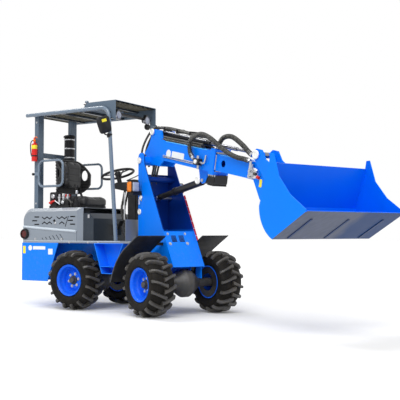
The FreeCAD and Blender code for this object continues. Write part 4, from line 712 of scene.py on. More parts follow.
def tyre_shape():
    """A tyre's carcass turned about Y, and its two rows of curved lugs, staggered by half a step."""
    shape, lugs = Shape(), Shape()
    share = np.linspace(-1, 1, 61)
    radius, across = carcass(share)
    raised = 0.0022 * (ridge(share, 0.84, 0.012) + ridge(share, 0.72, 0.01))
    inside = [(BEAD, 0.098), (BEAD - 0.004, 0.0), (BEAD, -0.098)]
    section = np.stack((radius + raised * 0.2, across + np.sign(share) * raised), 1)
    section = np.concatenate([section, inside])
    shape.grid(lathe(section, 96), around_rows=True, around_columns=True)
    # a lug: u runs from the middle of the tread over the shoulder, v across its section
    u = np.linspace(0, 1, 15)
    v = np.array([-1.0, -0.72, -0.5, 0.5, 0.72, 1.0])
    lift = np.array([-0.25, 0.72, 1.0, 1.0, 0.72, -0.25])
    for side in (-1, 1):
        place = side * (-0.035 + 0.555 * u)
        base_radius, base_y = carcass(place)
        ahead_radius, ahead_y = carcass(place + side * 0.01)
        slope = np.stack((ahead_radius - base_radius, ahead_y - base_y), 1)
        slope /= np.linalg.norm(slope, axis=1)[:, None]
        outward = np.stack((np.abs(slope[:, 1]), -slope[:, 0] * np.sign(slope[:, 1])), 1)
        high = LUG_HIGH * np.interp(u, [0, 0.06, 0.7, 0.9, 1.0], [0.9, 1.0, 1.0, 0.86, 0.7])
        half = np.interp(u, [0, 0.12, 0.5, 0.8, 1.0], [0.026, 0.019, 0.0165, 0.018, 0.021])
        sweep = 0.31 * u - 0.13 * u**2.2
        level = high[:, None] * lift
        ring_radius = base_radius[:, None] + outward[:, 0][:, None] * level
        ring_y = base_y[:, None] + outward[:, 1][:, None] * level
        for number in range(LUG_COUNT):
            start = (number + (0.5 if side > 0 else 0)) / LUG_COUNT * TURN
            angle = start + sweep[:, None] + half[:, None] * v / TYRE_RADIUS * 1.15
            points = np.stack((ring_radius * np.cos(angle), ring_y, ring_radius * np.sin(angle)), -1)
            lugs.grid(points).cap(points[0]).cap(points[-1])
    return shape, lugs


def rim_profile():
    """The wheel's section from the outer lip through the well to the inner lip, then back to the disc."""
    return [
        (0.172, -0.124), (0.175, -0.120), (0.174, -0.115), (0.166, -0.112), (0.157, -0.111), (0.153, -0.104),
        (0.1515, -0.09), (0.1505, -0.07), (0.142, -0.055), (0.136, -0.045), (0.136, 0.03), (0.15, 0.06),
        (0.1515, 0.1), (0.153, 0.11), (0.166, 0.113), (0.173, 0.116), (0.174, 0.122), (0.169, 0.124),
        (0.162, 0.117), (0.15, 0.114), (0.146, 0.1), (0.145, 0.065), (0.131, 0.032), (0.131, 0.0),
        (0.1295, -0.004), (0.122, -0.008), (0.108, -0.012), (0.094, -0.02), (0.086, -0.028), (0.07, -0.031),
        (0.052, -0.031), (0.049, -0.0335), (0.049, -0.038), (0.052, -0.0405), (0.072, -0.04), (0.09, -0.0365),
        (0.1, -0.03), (0.112, -0.022), (0.126, -0.018), (0.131, -0.02), (0.1315, -0.043), (0.138, -0.055),
        (0.146, -0.068), (0.147, -0.09), (0.149, -0.106), (0.155, -0.116), (0.164, -0.1175), (0.169, -0.1215),
    ]


HUB_FACE = -0.0405


def wheel(name):
    """Tyre, rim, dust shield, hub cap, nuts and valve of one wheel."""
    body, place = f"wheel_{name}", wheel_place(name)
    carcass_shape, lug_shape = tyre_shape()
    tyre = carcass_shape.made(f"tyre_{name}_carcass", "tyre_rubber", body, place, sharp=28)
    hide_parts(f"tyre_{name}")
    lug_shape.made(f"tyre_{name}_lugs", "lug_rubber", body, place, sharp=28)
    rim_shape = Shape().grid(lathe(rim_profile(), 96), around_rows=True, around_columns=True)
    rim = rim_shape.made(f"rim_{name}_pressed", "blue_rim", body, place, sharp=50)
    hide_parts(f"rim_{name}")
    shield = lathe([(0.161, 0.1185), (0.161, 0.121), (0.092, 0.121), (0.092, 0.1185)])
    shield_shape = Shape().grid(shield, around_rows=True, around_columns=True)
    shield_shape.made(f"dust_shield_{name}", "black_steel", body, place, sharp=40)
    hub = [(0.047, -0.02), (0.047, -0.045), (0.043, -0.05), (0.036, -0.052), (0.034, -0.074), (0.029, -0.08)]
    hub.append((0.02, -0.082))
    turned_piece(f"hub_{name}", hub, "iron", body, place, 40)
    angle = np.arange(6) / 6 * TURN + 0.2
    centres = np.stack((0.07 * np.cos(angle), np.full(6, HUB_FACE + 0.0005), 0.07 * np.sin(angle)), 1)
    bolts(f"wheel_nuts_{name}", centres, (0, -1, 0), 0.0105, body, place)
    valve = [(0.004, -0.115), (0.004, -0.135), (0.003, -0.14)]
    turned_piece(f"valve_{name}", valve, "black_plastic", body, place @ moved(0.14, 0, 0), 12)


for wheel_name in WHEELS:
    wheel(wheel_name)


# ---------------------------------------------------------------- small parts


def block(name, low, high, finish, body, place, corner=0.0, bevel=0.003, axis="Y"):
    """A block between two corners: its outline is rounded across one axis and its edges are broken."""
    first, second, along = {"X": (1, 2, 0), "Y": (0, 2, 1), "Z": (0, 1, 2)}[axis]
    outline = rectangle(low[first], high[first], low[second], high[second], corner)
    return plate_piece(name, outline, low[along], high[along], finish, body, place, axis, bevel)


def rod(name, start, end, radius, finish, body, place, sides=16):
    """A straight round bar between two points."""
    return tube_piece(name, [start, end], radius, finish, body, place, sides)


def lofted(name, outline, levels, finish, body, place):
    """A closed shell along X: the (y, z) outline, scaled about its middle, stands at each (scale, x)."""
    outline = np.asarray(outline, float)
    middle = outline.mean(0)
    rows = []
    for scale, level in levels:
        flat = middle + (outline - middle) * scale
        rows.append(np.column_stack((np.full(len(flat), level), flat)))
    rows = np.array(rows)
    shape = Shape().grid(rows, around_columns=True).cap(rows[0]).cap(rows[-1])
    return shape.made(name, finish, body, place, sharp=40)


def disc(name, centre, radius, thick, finish, body, place, out=-1, dish=0.0):
    """A round cap that stands out from a face along Y, its edge eased and its middle sunk by dish."""
    ease = min(thick, radius) * 0.35
    profile = [(radius, 0), (radius, out * (thick - ease)), (radius - ease, out * thick)]
    if dish:
        sunk = out * (thick - dish)
        profile += [(radius * 0.62, out * thick), (radius * 0.55, sunk), (radius * 0.1, sunk)]
    return turned_piece(name, profile, finish, body, place @ moved(*centre), 40)


# ---------------------------------------------------------------- canopy


def ribbed_liner(name, low_x, high_x, level):
    """A thin sheet whose height is a flattened cosine of y, so that its ribs run along the roof."""
    x = np.linspace(low_x, high_x, 3)[:, None]
    y = np.linspace(-0.368, 0.368, 145)[None, :]
    wave = 0.0035 * np.clip(3 * np.cos(y / 0.092 * TURN), -1, 1)
    points = np.stack((x + 0 * y, y + 0 * x, level - 0.004 + wave + 0 * x), -1)
    shape = Shape().grid(points).grid(points + (0, 0, 0.002), flip=True)
    shape.made(name, "roof_liner", *ON_REAR, sharp=30)


def canopy():
    """Ribbed liners and ribs under roof and visor, the front tubes' bar, the knob, lamps and mirrors."""
    ribbed_liner("roof_liner_rear", -1.484, -0.673, 2.249)
    ribbed_liner("roof_liner_front", -0.655, -0.19, 2.306)
    for number, x in enumerate((-1.3, -0.99)):
        block(f"roof_rib_{number}", (x, -0.37, 2.222), (x + 0.03, 0.37, 2.245), "deep_slate", *ON_REAR)
    block("visor_rib", (-0.45, -0.37, 2.28), (-0.42, 0.37, 2.302), "deep_slate", *ON_REAR)
    block("roof_seam", (-0.69, -0.37, 2.214), (-0.645, 0.37, 2.24), "deep_slate", *ON_REAR)
    rod("lamp_bar", (-0.262, -0.395, 2.186), (-0.262, 0.395, 2.186), 0.017, "black_steel", *ON_REAR)
    knob = [(0.01, 0), (0.01, 0.01), (0.02, 0.012), (0.023, 0.022), (0.019, 0.033), (0.009, 0.038)]
    turned_piece("roof_knob", knob, "tube_paint", REAR_BODY, REAR @ moved(-0.63, -0.33, 2.314), 32, "Z")
    for side, word in SIDES:
        work_lamp(side, word)
        mirror(side, word)
    horn = [(0.012, -0.03), (0.03, -0.024), (0.036, -0.008), (0.036, 0.012), (0.03, 0.018)]
    place = REAR @ moved(-0.24, 0.3, 2.096)
    turned_piece("reversing_horn", horn, "black_plastic", REAR_BODY, place, 40, "X")
    rod("horn_stem", (-0.244, 0.3, 2.12), (-0.256, 0.285, 2.18), 0.007, "black_steel", *ON_REAR)


def work_lamp(side, word):
    """A round lamp under the visor: its bowl, lens, back and bracket."""
    place = REAR @ moved(-0.236, side * 0.268, 2.166)
    bowl = [(0.012, -0.034), (0.026, -0.03), (0.038, -0.02), (0.045, -0.004), (0.047, 0.014)]
    bowl += [(0.047, 0.024), (0.043, 0.026), (0.041, 0.02)]
    lamp_shell = turned_piece(f"work_lamp_shell_{word}", bowl, "chrome_rod", REAR_BODY, place, 48, "X")
    if side < 0:
        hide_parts("work_lamps")
    domed = [(0.041, 0.02), (0.033, 0.026), (0.018, 0.03), (0.006, 0.031)]
    turned_piece(f"work_lamp_lens_{word}", domed, "lamp_lens", REAR_BODY, place, 48, "X")
    back = [(0.02, -0.05), (0.026, -0.046), (0.026, -0.03)]
    turned_piece(f"work_lamp_back_{word}", back, "black_plastic", REAR_BODY, place, 32, "X")
    low, high = (-0.262, side * 0.268 - 0.02, 2.2), (-0.222, side * 0.268 + 0.02, 2.232)
    block(f"work_lamp_bracket_{word}", low, high, "black_steel", *ON_REAR, 0.006)


def mirror(side, word):
    """A mirror: a domed housing with rounded corners, turned towards the seat and leaning with its tube."""
    head = REAR @ moved(-0.246, side * 0.487, 2.034) @ turned("Z", side * 19) @ turned("X", side * -19)
    outline = rectangle(-0.078, 0.078, -0.092, 0.092, 0.034, 6)
    outline[:, 0] *= 1 + outline[:, 1] * 0.5
    dome = [(0.95, -0.014), (1.0, -0.012), (1.0, 0.002), (0.97, 0.01), (0.88, 0.017), (0.7, 0.021)]
    dome.append((0.4, 0.023))
    housing = lofted(f"mirror_shell_{word}", outline, dome, "black_plastic", REAR_BODY, head)
    if side < 0:
        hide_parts("mirrors")
    pane = [(0.9, -0.0165), (0.91, -0.0135)]
    lofted(f"mirror_glass_{word}", outline, pane, "mirror_glass", REAR_BODY, head)
    low, high = (0.0225, -0.03, 0.03), (0.0238, 0.03, 0.062)
    block(f"mirror_label_{word}", low, high, "label_yellow", REAR_BODY, head, 0.004, 0, "X")
    start, end = (-0.2435, side * 0.4, 1.9), (-0.24, side * 0.4, 1.945)
    rod(f"mirror_clamp_{word}", start, end, 0.0285, "black_plastic", *ON_REAR, 32)
    arm = [(-0.242, 0.425, 1.925), (-0.25, 0.46, 1.93), (-0.262, 0.478, 1.952), (-0.27, 0.484, 1.99)]
    arm = [(x, side * y, z) for x, y, z in arm]
    bent(f"mirror_arm_{word}", arm, 16, 0.008, "black_steel", *ON_REAR, 12)


def bottle():
    """The extinguisher's label band, strap, valve, lever and hose."""
    place = REAR @ moved(-1.396, -0.371, 0)
    band = [(0.0342, 1.842), (0.0352, 1.844), (0.0352, 1.884), (0.0342, 1.886)]
    turned_piece("bottle_band", band, "label_yellow", REAR_BODY, place, 48, "Z")
    strap = [(0.0344, 1.752), (0.0364, 1.753), (0.0364, 1.767), (0.0344, 1.768)]
    turned_piece("bottle_strap", strap, "black_steel", REAR_BODY, place, 48, "Z")
    valve = [(0.013, 1.93), (0.017, 1.935), (0.017, 1.95), (0.012, 1.956), (0.012, 1.972), (0.008, 1.976)]
    turned_piece("bottle_valve", valve, "orange_paint", REAR_BODY, place, 24, "Z")
    lever = [(-1.405, -0.371, 1.97), (-1.38, -0.377, 1.982), (-1.352, -0.386, 1.98), (-1.335, -0.39, 1.968)]
    bent("bottle_lever", lever, 14, 0.0055, "orange_paint", *ON_REAR)
    whip = [(-1.41, -0.378, 1.945), (-1.432, -0.388, 1.93), (-1.44, -0.392, 1.88), (-1.436, -0.39, 1.8)]
    bent("bottle_hose", [*whip, (-1.43, -0.386, 1.76)], 40, 0.006, "black_plastic", *ON_REAR)


def air_cleaner():
    """The air cleaner's three bands and its cap."""
    place = REAR @ moved(-1.3, 0.132, 0)
    for number, z in enumerate((1.765, 1.875, 1.985)):
        band = [(0.0622, z), (0.0645, z + 0.002), (0.0645, z + 0.013), (0.0622, z + 0.015)]
        turned_piece(f"cleaner_band_{number}", band, "bare_steel", REAR_BODY, place, 48, "Z")
    cap = [(0.07, 2.02), (0.074, 2.024), (0.074, 2.034), (0.06, 2.046), (0.03, 2.052)]
    turned_piece("cleaner_cap", cap, "black_plastic", REAR_BODY, place, 48, "Z")


def behind_the_seat():
    """The bottle, the guard loops' clamps, the posts' bolts, the air cleaner and the exhaust beside it."""
    bottle()
    for side, word in SIDES:
        for number, x in enumerate((-1.436, -1.36)):
            centre, radius = (x, side * 0.34, 1.547), 0.016 - 0.004 * number
            disc(f"loop_knob_{word}_{number}", centre, radius, 0.02, "black_plastic", *ON_REAR, side)
        centres = [(-1.396, side * 0.3372, z) for z in (1.2, 1.79, 2.16)]
        bolts(f"post_bolts_{word}", centres, (0, side, 0), 0.008, *ON_REAR)
    air_cleaner()
    pipe = [(-1.392, 0.17, 1.142), (-1.392, 0.17, 1.5), (-1.392, 0.17, 1.9), (-1.394, 0.17, 1.99)]
    bent("exhaust", [*pipe, (-1.41, 0.172, 2.02)], 60, 0.017, "bare_steel", *ON_REAR, 24)


# ---------------------------------------------------------------- seat and controls


def skin(mesh):
    """The points of a mesh as an array."""
    points = np.empty(len(mesh.vertices) * 3)
    mesh.vertices.foreach_get("co", points)
    return points.reshape(-1, 3)


def swollen(thing, ceiling):
    """Padded fabric: its skin is remeshed, blown up as cloth by no more than the ceiling, then smoothed."""
    scene = bpy.context.scene
    remesh = thing.modifiers.new("even", "REMESH")
    remesh.mode, remesh.voxel_size = "VOXEL", 0.006
    bpy.context.view_layer.objects.active = thing
    bpy.ops.object.modifier_apply(modifier="even")
    start = skin(thing.data)
    cloth = thing.modifiers.new("swell", "CLOTH")
    cloth.settings.use_pressure, cloth.settings.uniform_pressure_force = True, 4.0
    cloth.settings.quality, cloth.settings.mass = 6, 0.3
    cloth.settings.effector_weights.gravity = 0
    for frame_number in range(1, 21):
        scene.frame_set(frame_number)
    end = skin(thing.evaluated_get(bpy.context.evaluated_depsgraph_get()).data)
    thing.modifiers.remove(cloth)
    scene.frame_set(1)
    move = end - start
    length = np.linalg.norm(move, axis=1)[:, None]
    move *= np.minimum(1, ceiling / np.maximum(length, 1e-9))
    thing.data.vertices.foreach_set("co", (start + move).ravel())
    thing.data.update()
    thing.data.polygons.foreach_set("use_smooth", [True] * len(thing.data.polygons))
    smooth = thing.modifiers.new("soft", "SUBSURF")
    smooth.levels = smooth.render_levels = 1
    bpy.ops.object.modifier_apply(modifier="soft")
    return thing


def pressed_in(mesh, centre, half, place, channels):
    """Sinks a pad's upper skin at its cross channels, and along a seam on each side, as bell curves."""
    points = skin(mesh)
    inverse = np.linalg.inv(place)
    local = points @ inverse[:3, :3].T + inverse[:3, 3] - centre
    upper = np.clip(local[:, 2] / (half[2] * 0.5), 0, 1)
    inner = np.clip((half[1] * 0.66 - np.abs(local[:, 1])) / 0.02, 0, 1)
    for line in channels:
        sink = 0.007 * np.exp(-(((local[:, 0] - line) / 0.007) ** 2)) * upper * inner
        points -= sink[:, None] * place[:3, 2]
    seam = 0.006 * np.exp(-(((np.abs(local[:, 1]) - half[1] * 0.68) / 0.007) ** 2)) * upper
    points -= seam[:, None] * place[:3, 2]
    mesh.vertices.foreach_set("co", points.ravel())
    mesh.update()


def pad(name, centre, half, body, place, crown, hollow, ceiling, channels):
    """A cushion: a superellipsoid, flattened below and hollowed along its middle, swollen, then pressed in.

    A point is centre + half * (c(u) c(v), c(u) s(v), s(u)), with c and s the cosine and sine squared off.
    """
    u = np.linspace(-0.5, 0.5, 33)[:, None] * math.pi
    v = np.linspace(0, 1, 64, endpoint=False)[None, :] * TURN
    power = 2 / 5
    x = squared(np.cos(u), power) * squared(np.cos(v), power)
    y = squared(np.cos(u), power) * squared(np.sin(v), power)
    z = squared(np.sin(u), power) * (1 + 0 * v)
    rise = crown * (1 - x**2) * (1 - y**2) - hollow * (1 - np.clip(np.abs(y) / 0.7, 0, 1) ** 2)
    z = z + np.where(z > 0, rise, 0) * z
    points = np.stack((x * half[0], y * half[1], z * half[2]), -1) + centre
    thing = Shape().grid(points, around_columns=True).made(name, "seat_vinyl", body, place, sharp=180)
    thing = swollen(thing, ceiling)
    pressed_in(thing.data, centre, half, place, channels)
    return thing


def seat():
    """A bucket seat: cushion, back pad, the moulded shell behind it, its pan, rails, hinges and brackets."""
    half, channels = (0.176, 0.23, 0.054), (-0.07, 0.0, 0.07)
    cushion = pad("seat_cushion_pad", (-0.918, 0, 1.215), half, *ON_REAR, 0.12, 0.25, 0.014, channels)
    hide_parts("seat_cushion")
    back = REAR @ moved(-1.15, 0, 1.545) @ turned("Y", 90)
    half, channels = (0.165, 0.155, 0.032), (-0.075, 0.0, 0.075)
    back_pad = pad("seat_back_pad", (0, 0, 0.006), half, REAR_BODY, back, 0.25, 0.1, 0.012, channels)
    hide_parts("seat_backrest")
    shell()
    low, high = (-1.09, -0.215, 1.148), (-0.775, 0.215, 1.172)
    block("seat_pan", low, high, "black_plastic", *ON_REAR, 0.03, 0.004, "Z")
    for side, word in SIDES:
        low, high = (-1.08, side * 0.16 - 0.018, 1.137), (-0.77, side * 0.16 + 0.018, 1.15)
        block(f"seat_rail_{word}", low, high, "bare_steel", *ON_REAR, 0.004)
        hinge = REAR @ moved(-1.11, side * 0.215, 1.235)
        disc(f"seat_hinge_{word}", (0, 0, 0), 0.032, 0.014, "black_plastic", REAR_BODY, hinge, side, 0.003)
        arm = [(-1.1, 0.212, 1.2), (-1.14, 0.214, 1.26), (-1.175, 0.2, 1.34), (-1.18, 0.19, 1.42)]
        arm = [(x, side * y, z) for x, y, z in arm]
        bent(f"seat_bracket_{word}", arm, 20, 0.014, "black_steel", *ON_REAR, 12)


def shell():
    """The back shell: across it, t runs from wing to wing and the sheet bends forward past its middle part.

    Its height at t is a rounded D, tallest in the middle. Each wing has an oval hole, and ribs wave its back.
    """
    half_wide, flat, reach, base = 0.232, 0.155, 0.135, 1.335
    hole_bend, hole_height = 0.62, 1.552
    t = np.linspace(-1, 1, 97)
    s = np.linspace(0, 1, 61)
    bend = np.clip((np.abs(t) - 0.5) / 0.5, 0, 1)
    wing = flat + (half_wide - flat) * np.sin(bend * math.pi / 2) ** 0.8
    y = np.sign(t) * np.where(np.abs(t) < 0.5, np.abs(t) * 2 * flat, wing)
    x = -1.196 + reach * (1 - np.cos(bend * math.pi / 2)) ** 0.9
    top = 1.722 - 0.16 * bend**1.8
    low = base + 0.115 * bend**2.2
    z = low[:, None] + (top - low)[:, None] * s[None, :]
    lean = (z - base) * -0.03
    ribbed = ((bend > 0.12) & (bend < 0.8))[:, None]
    ripple = 0.0035 * np.clip(np.cos((z - 1.33) / 0.036 * TURN) * 2, -1, 1) * ribbed
    back = np.stack((x[:, None] + lean, y[:, None] + 0 * z, z), -1)
    tangent = np.gradient(back[:, 0, :2], axis=0)
    tangent /= np.linalg.norm(tangent, axis=1)[:, None]
    outward = np.stack((-tangent[:, 1], tangent[:, 0]), 1)
    thick = (0.016 + 0.004 * bend)[:, None] + ripple
    back[..., :2] += outward[:, None, :] * thick[..., None]
    hole = ((bend[:, None] - hole_bend) / 0.2) ** 2 + ((z - hole_height) / 0.062) ** 2 < 1
    open_faces = hole[:-1, :-1] | hole[1:, :-1] | hole[:-1, 1:] | hole[1:, 1:]
    faces = quads(len(t), len(s))[~open_faces.ravel()]
    mesh = bpy.data.meshes.new("seat_shell")
    mesh.from_pydata(at(back.reshape(-1, 3), REAR).tolist(), [], faces.tolist())
    thing = piece("seat_shell", mesh, "seat_shell", REAR_BODY, sharp=60)
    wall = thing.modifiers.new("wall", "SOLIDIFY")
    wall.thickness, wall.offset = 0.014, 0.0
    for side, word in SIDES:
        angle = np.linspace(0, 1, 49) * TURN
        share = side * (0.5 + 0.5 * np.clip(hole_bend + 0.235 * np.cos(angle), 0, 1))
        height = hole_height + 0.073 * np.sin(angle)
        ring = np.stack([np.interp(share, t, back[:, 30, axis]) for axis in (0, 1)] + [height], 1)
        tube_piece(f"seat_opening_{word}", ring, 0.0105, "seat_trim", *ON_REAR, 12)
    edge = np.concatenate([back[:, -1], back[::-1, 0], back[:1, -1]])
    tube_piece("seat_shell_edge", edge[::2], 0.0115, "seat_vinyl", *ON_REAR, 12)


def side_controls():
    """Valves and levers between the seat and the right guard: boxes, spools, dials, bellows and hoses."""
    for name, low, high, corner in (
        ("control_base", (-1.16, -0.366, 1.14), (-0.86, -0.255, 1.17), 0.01),
        ("control_box_rear", (-1.155, -0.36, 1.168), (-1.05, -0.265, 1.325), 0.018),
        ("control_box_front", (-0.985, -0.355, 1.168), (-0.88, -0.262, 1.235), 0.012),
    ):
        block(name, low, high, "black_plastic", *ON_REAR, corner)
    spool = [(0.016, 0), (0.016, 0.05), (0.02, 0.054), (0.02, 0.07), (0.012, 0.078), (0.012, 0.1)]
    for number, x in enumerate((-0.005, 0.05, 0.105)):
        place = REAR @ moved(-1.02, -0.34, 1.2) @ moved(x, 0.01 * number, 0)
        turned_piece(f"valve_spool_{number}", spool, "bare_steel", REAR_BODY, place, 24, "Z")
    disc("control_dial", (-1.1, -0.361, 1.275), 0.026, 0.016, "bare_steel", *ON_REAR, -1, 0.003)
    disc("control_knob", (-0.955, -0.357, 1.205), 0.022, 0.02, "bare_steel", *ON_REAR)
    rod("park_lever", (-1.15, -0.372, 1.2), (-1.06, -0.38, 1.225), 0.012, "red_paint", *ON_REAR)
    rod("park_lever_arm", (-1.06, -0.38, 1.225), (-1.0, -0.36, 1.18), 0.007, "bare_steel", *ON_REAR)
    disc("stop_button", (-1.13, -0.361, 1.2), 0.015, 0.014, "red_paint", *ON_REAR)
    stick_foot()
    for number, (x, y) in enumerate(((-0.88, -0.28), (-0.9, -0.335), (-0.845, -0.345))):
        loop = [(x, y, 1.15), (x + 0.01, y - 0.01, 1.2), (x - 0.05, y, 1.235), (x - 0.11, y + 0.01, 1.215)]
        bent(f"control_hose_{number}", loop, 40, 0.008, "hose_guard", *ON_REAR, 10, 0.1, 0.008)
    belt = [(-1.12, -0.232, 1.17), (-1.1, -0.246, 1.23), (-1.06, -0.25, 1.262), (-1.0, -0.243, 1.28)]
    bent("belt_stalk", belt, 20, 0.012, "black_plastic", *ON_REAR)
    block("belt_buckle", (-1.01, -0.262, 1.262), (-0.955, -0.236, 1.302), "red_paint", *ON_REAR, 0.008)


def stick_foot():
    """The control stick's bellows, each fold narrower than the one below, and the collar under its grip."""
    place = REAR @ moved(-0.79, -0.31, 0)
    folds = [(0.046, 1.141)]
    for number in range(5):
        z, radius = 1.15 + 0.016 * number, 0.044 - 0.0042 * number
        folds += [(radius, z), (radius + 0.004, z + 0.006), (radius - 0.002, z + 0.013)]
    turned_piece("stick_bellows", folds, "black_plastic", REAR_BODY, place, 36, "Z")
    collar = [(0.0125, 1.3), (0.0145, 1.304), (0.0145, 1.336), (0.0125, 1.34)]
    turned_piece("stick_collar", collar, "bare_steel", REAR_BODY, place, 24, "Z")


def dashboard():
    """The column's dark hood and panel, a bright strip, the steering hoses, two pedals and two levers."""
    low, high = (-0.215, -0.118, 1.418), (-0.105, 0.118, 1.452)
    block("dash_hood", low, high, "black_plastic", *ON_REAR, 0.014, 0.006)
    low, high = (-0.205, -0.1175, 0.99), (-0.1, -0.1105, 1.31)
    block("dash_panel_right", low, high, "black_plastic", *ON_REAR, 0.012, 0.002)
    low, high = (-0.262, -0.1165, 1.0), (-0.244, -0.1105, 1.31)
    block("dash_strip_right", low, high, "bare_steel", *ON_REAR, 0.002, 0.001)
    for number, (x, y) in enumerate(((-0.3, -0.075), (-0.325, -0.035), (-0.335, 0.03), (-0.305, 0.075))):
        drop = [(x + 0.02, y, 1.33), (x, y, 1.25), (x - 0.02, y - 0.01, 1.1), (x + 0.015, y, 0.95)]
        drop.append((x + 0.03, y, 0.79))
        bent(f"steering_hose_{number}", drop, 80, 0.011, "hose_guard", *ON_REAR, 12, 0.09, 0.01)
    for number, y in enumerate((-0.2, 0.15)):
        arm = [(-0.17, y, 0.79), (-0.215, y, 0.86), (-0.235, y, 0.93)]
        bent(f"pedal_arm_{number}", arm, 12, 0.008, "black_steel", *ON_REAR)
        place = REAR @ moved(-0.245, y, 0.945) @ turned("Y", -62)
        low, high = (-0.05, -0.035, -0.006), (0.05, 0.035, 0.006)
        block(f"pedal_pad_{number}", low, high, "black_plastic", REAR_BODY, place, 0.01, 0.003, "Z")
    for number, side in enumerate((-1, 1)):
        lever = [(-0.36, 0.06, 1.455), (-0.33, 0.09, 1.475), (-0.27, 0.15, 1.515), (-0.2, 0.19, 1.57)]
        lever = [(x, side * y, z) for x, y, z in lever]
        bent(f"column_lever_{number}", lever, 24, 0.006, "black_steel", *ON_REAR)


canopy()
behind_the_seat()
seat()
side_controls()
dashboard()


# ---------------------------------------------------------------- front frame


LAMP_Y, LAMP_Z = 0.29, 1.352


def front_lamps(side, word):
    """A head lamp's bezel and glass, the turn lamp on its flank with its ring, and their bracket."""
    face = FRONT @ moved(0.186, side * LAMP_Y, LAMP_Z)
    outline = rectangle(-0.046, 0.046, -0.057, 0.057, 0.012, 5)
    bezel = [(1.02, -0.012), (1.04, -0.01), (1.04, 0.004), (1.0, 0.008), (0.9, 0.008)]
    lofted(f"head_lamp_bezel_{word}", outline, bezel, "black_plastic", FRONT_BODY, face)
    glass = [(1.0, 0.004), (0.97, 0.011), (0.85, 0.016), (0.5, 0.019)]
    lofted(f"head_lamp_glass_{word}", outline * 0.88, glass, "lamp_lens", FRONT_BODY, face)
    flank = FRONT @ moved(0.15, side * (LAMP_Y + 0.048), LAMP_Z) @ turned("Z", side * 90)
    outline = rectangle(-0.034, 0.034, -0.056, 0.056, 0.014, 5)
    glass = [(1.0, -0.006), (1.0, 0.006), (0.96, 0.014), (0.84, 0.021), (0.5, 0.025)]
    lofted(f"turn_lamp_{word}", outline, glass, "amber_lens", FRONT_BODY, flank)
    ring = [(1.05, -0.008), (1.06, -0.006), (1.06, 0.001), (1.03, 0.003)]
    lofted(f"turn_lamp_ring_{word}", outline, ring, "black_plastic", FRONT_BODY, flank)
    low_y, high_y = span(side, 0.205, 0.32)
    low, high = (0.115, low_y, 1.262), (0.18, high_y, 1.296)
    block(f"lamp_bracket_{word}", low, high, "black_steel", *ON_FRONT, 0.006)


def mast_fittings(side, word):
    """Bolts, pin caps, plug, blank label and the folded front edge of one of the mast's plates."""
    centres = [(0.135, side * 0.2005, 1.235), (0.165, side * 0.2005, 1.215)]
    bolts(f"lamp_bolts_{word}", centres, (0, side, 0), 0.011, *ON_FRONT)
    for name, x, y, z, radius, thick in (
        ("boom_pin_cap", 0.136, 0.2085, 1.644, 0.034, 0.012),
        ("lift_pin_cap", 0.168, 0.2085, 1.236, 0.024, 0.01),
        ("mast_plug", 0.128, 0.2002, 1.085, 0.032, 0.008),
    ):
        disc(f"{name}_{word}", (x, side * y, z), radius, thick, "bright_plate", *ON_FRONT, side, 0.002)
    low_y, high_y = span(side, 0.2, 0.2015)
    low, high = (0.108, low_y, 1.165), (0.128, high_y, 1.225)
    block(f"mast_label_{word}", low, high, "label_white", *ON_FRONT, 0.004, 0)
    fold = [(0.178, 1.62), (0.19, 1.62), (0.2, 0.37), (0.188, 0.37)]
    plate_piece(f"mast_fold_{word}", fold, *span(side, 0.199, 0.2025), "blue_paint", *ON_FRONT, "Y", 0.001)


def fender_edge(side, word):
    """The trim round a fender's outer edge."""
    edge = [(0.165, 0.333), (0.184, 0.386), (0.208, 0.437), (0.237, 0.485), (0.269, 0.531), (0.305, 0.574)]
    edge += [(0.345, 0.613), (0.389, 0.649), (0.435, 0.681), (0.56, 0.752), (0.692, 0.824)]
    path = [(x, side * 0.582, z) for x, z in edge]
    bent(f"fender_edge_{word}", path, 80, 0.006, "fender_trim", *ON_FRONT)


def reflecting_strip():
    """A red band that slants down the left of the mast: a rectangle along its slope."""
    along, across = np.array((0.449, -0.894)), np.array((0.894, 0.449))
    start = np.array((0.222, 1.6))
    ends = ((0.385, -0.006), (0.93, -0.006), (0.93, 0.026), (0.385, 0.026))
    corners = [start + along * run + across * off for run, off in ends]
    plate_piece("reflecting_strip", corners, 0.2003, 0.2045, "reflector_red", *ON_FRONT, "Y", 0.001)


def cover_details():
    """The two sets of slots in the mast's sloping cover, drawn as near-black bars that are painted shade, and its
    four bolts.
    """
    slope = FRONT @ moved(0.589, 0, 0.87) @ turned("Y", 62.4)
    for number, y in enumerate((-0.092, 0.006)):
        for line in range(6):
            x = 0.052 + 0.013 * line
            # each slot is a near-black bar on the cover: painted shade
            low, high = (x, y - 0.032, 0.001), (x + 0.008, y + 0.032, 0.0045)
            block(f"cover_vent_shade_{number}_{line}", low, high, "dark_hollow", FRONT_BODY, slope, 0, 0, "Z")
    centres = [(x, y, 0.0005) for x in (0.03, 0.145) for y in (-0.155, 0.065)]
    bolts("cover_bolts", centres, (0, 0, 1), 0.012, FRONT_BODY, slope)


def mast_hoses():
    """Three guarded hoses that climb between the mast's plates."""
    for number, (y, size) in enumerate(((-0.03, 0.011), (0.03, 0.011), (0.0, 0.009))):
        climb = [(-0.02, y, 0.72), (0.03, y, 0.9), (0.06, y, 1.12), (0.085, y, 1.32), (0.12, y, 1.5)]
        climb.append((0.16, y, 1.6))
        bent(f"mast_hose_{number}", climb, 120, size, "hose_guard", *ON_FRONT, 12, 0.08, 0.012)


def front_details():
    """Everything on the front frame but its wheels."""
    for side, word in SIDES:
        front_lamps(side, word)
        mast_fittings(side, word)
        fender_edge(side, word)
    reflecting_strip()
    cover_details()
    mast_hoses()


# ---------------------------------------------------------------- boom


BOOM_HOSE = 0.0205


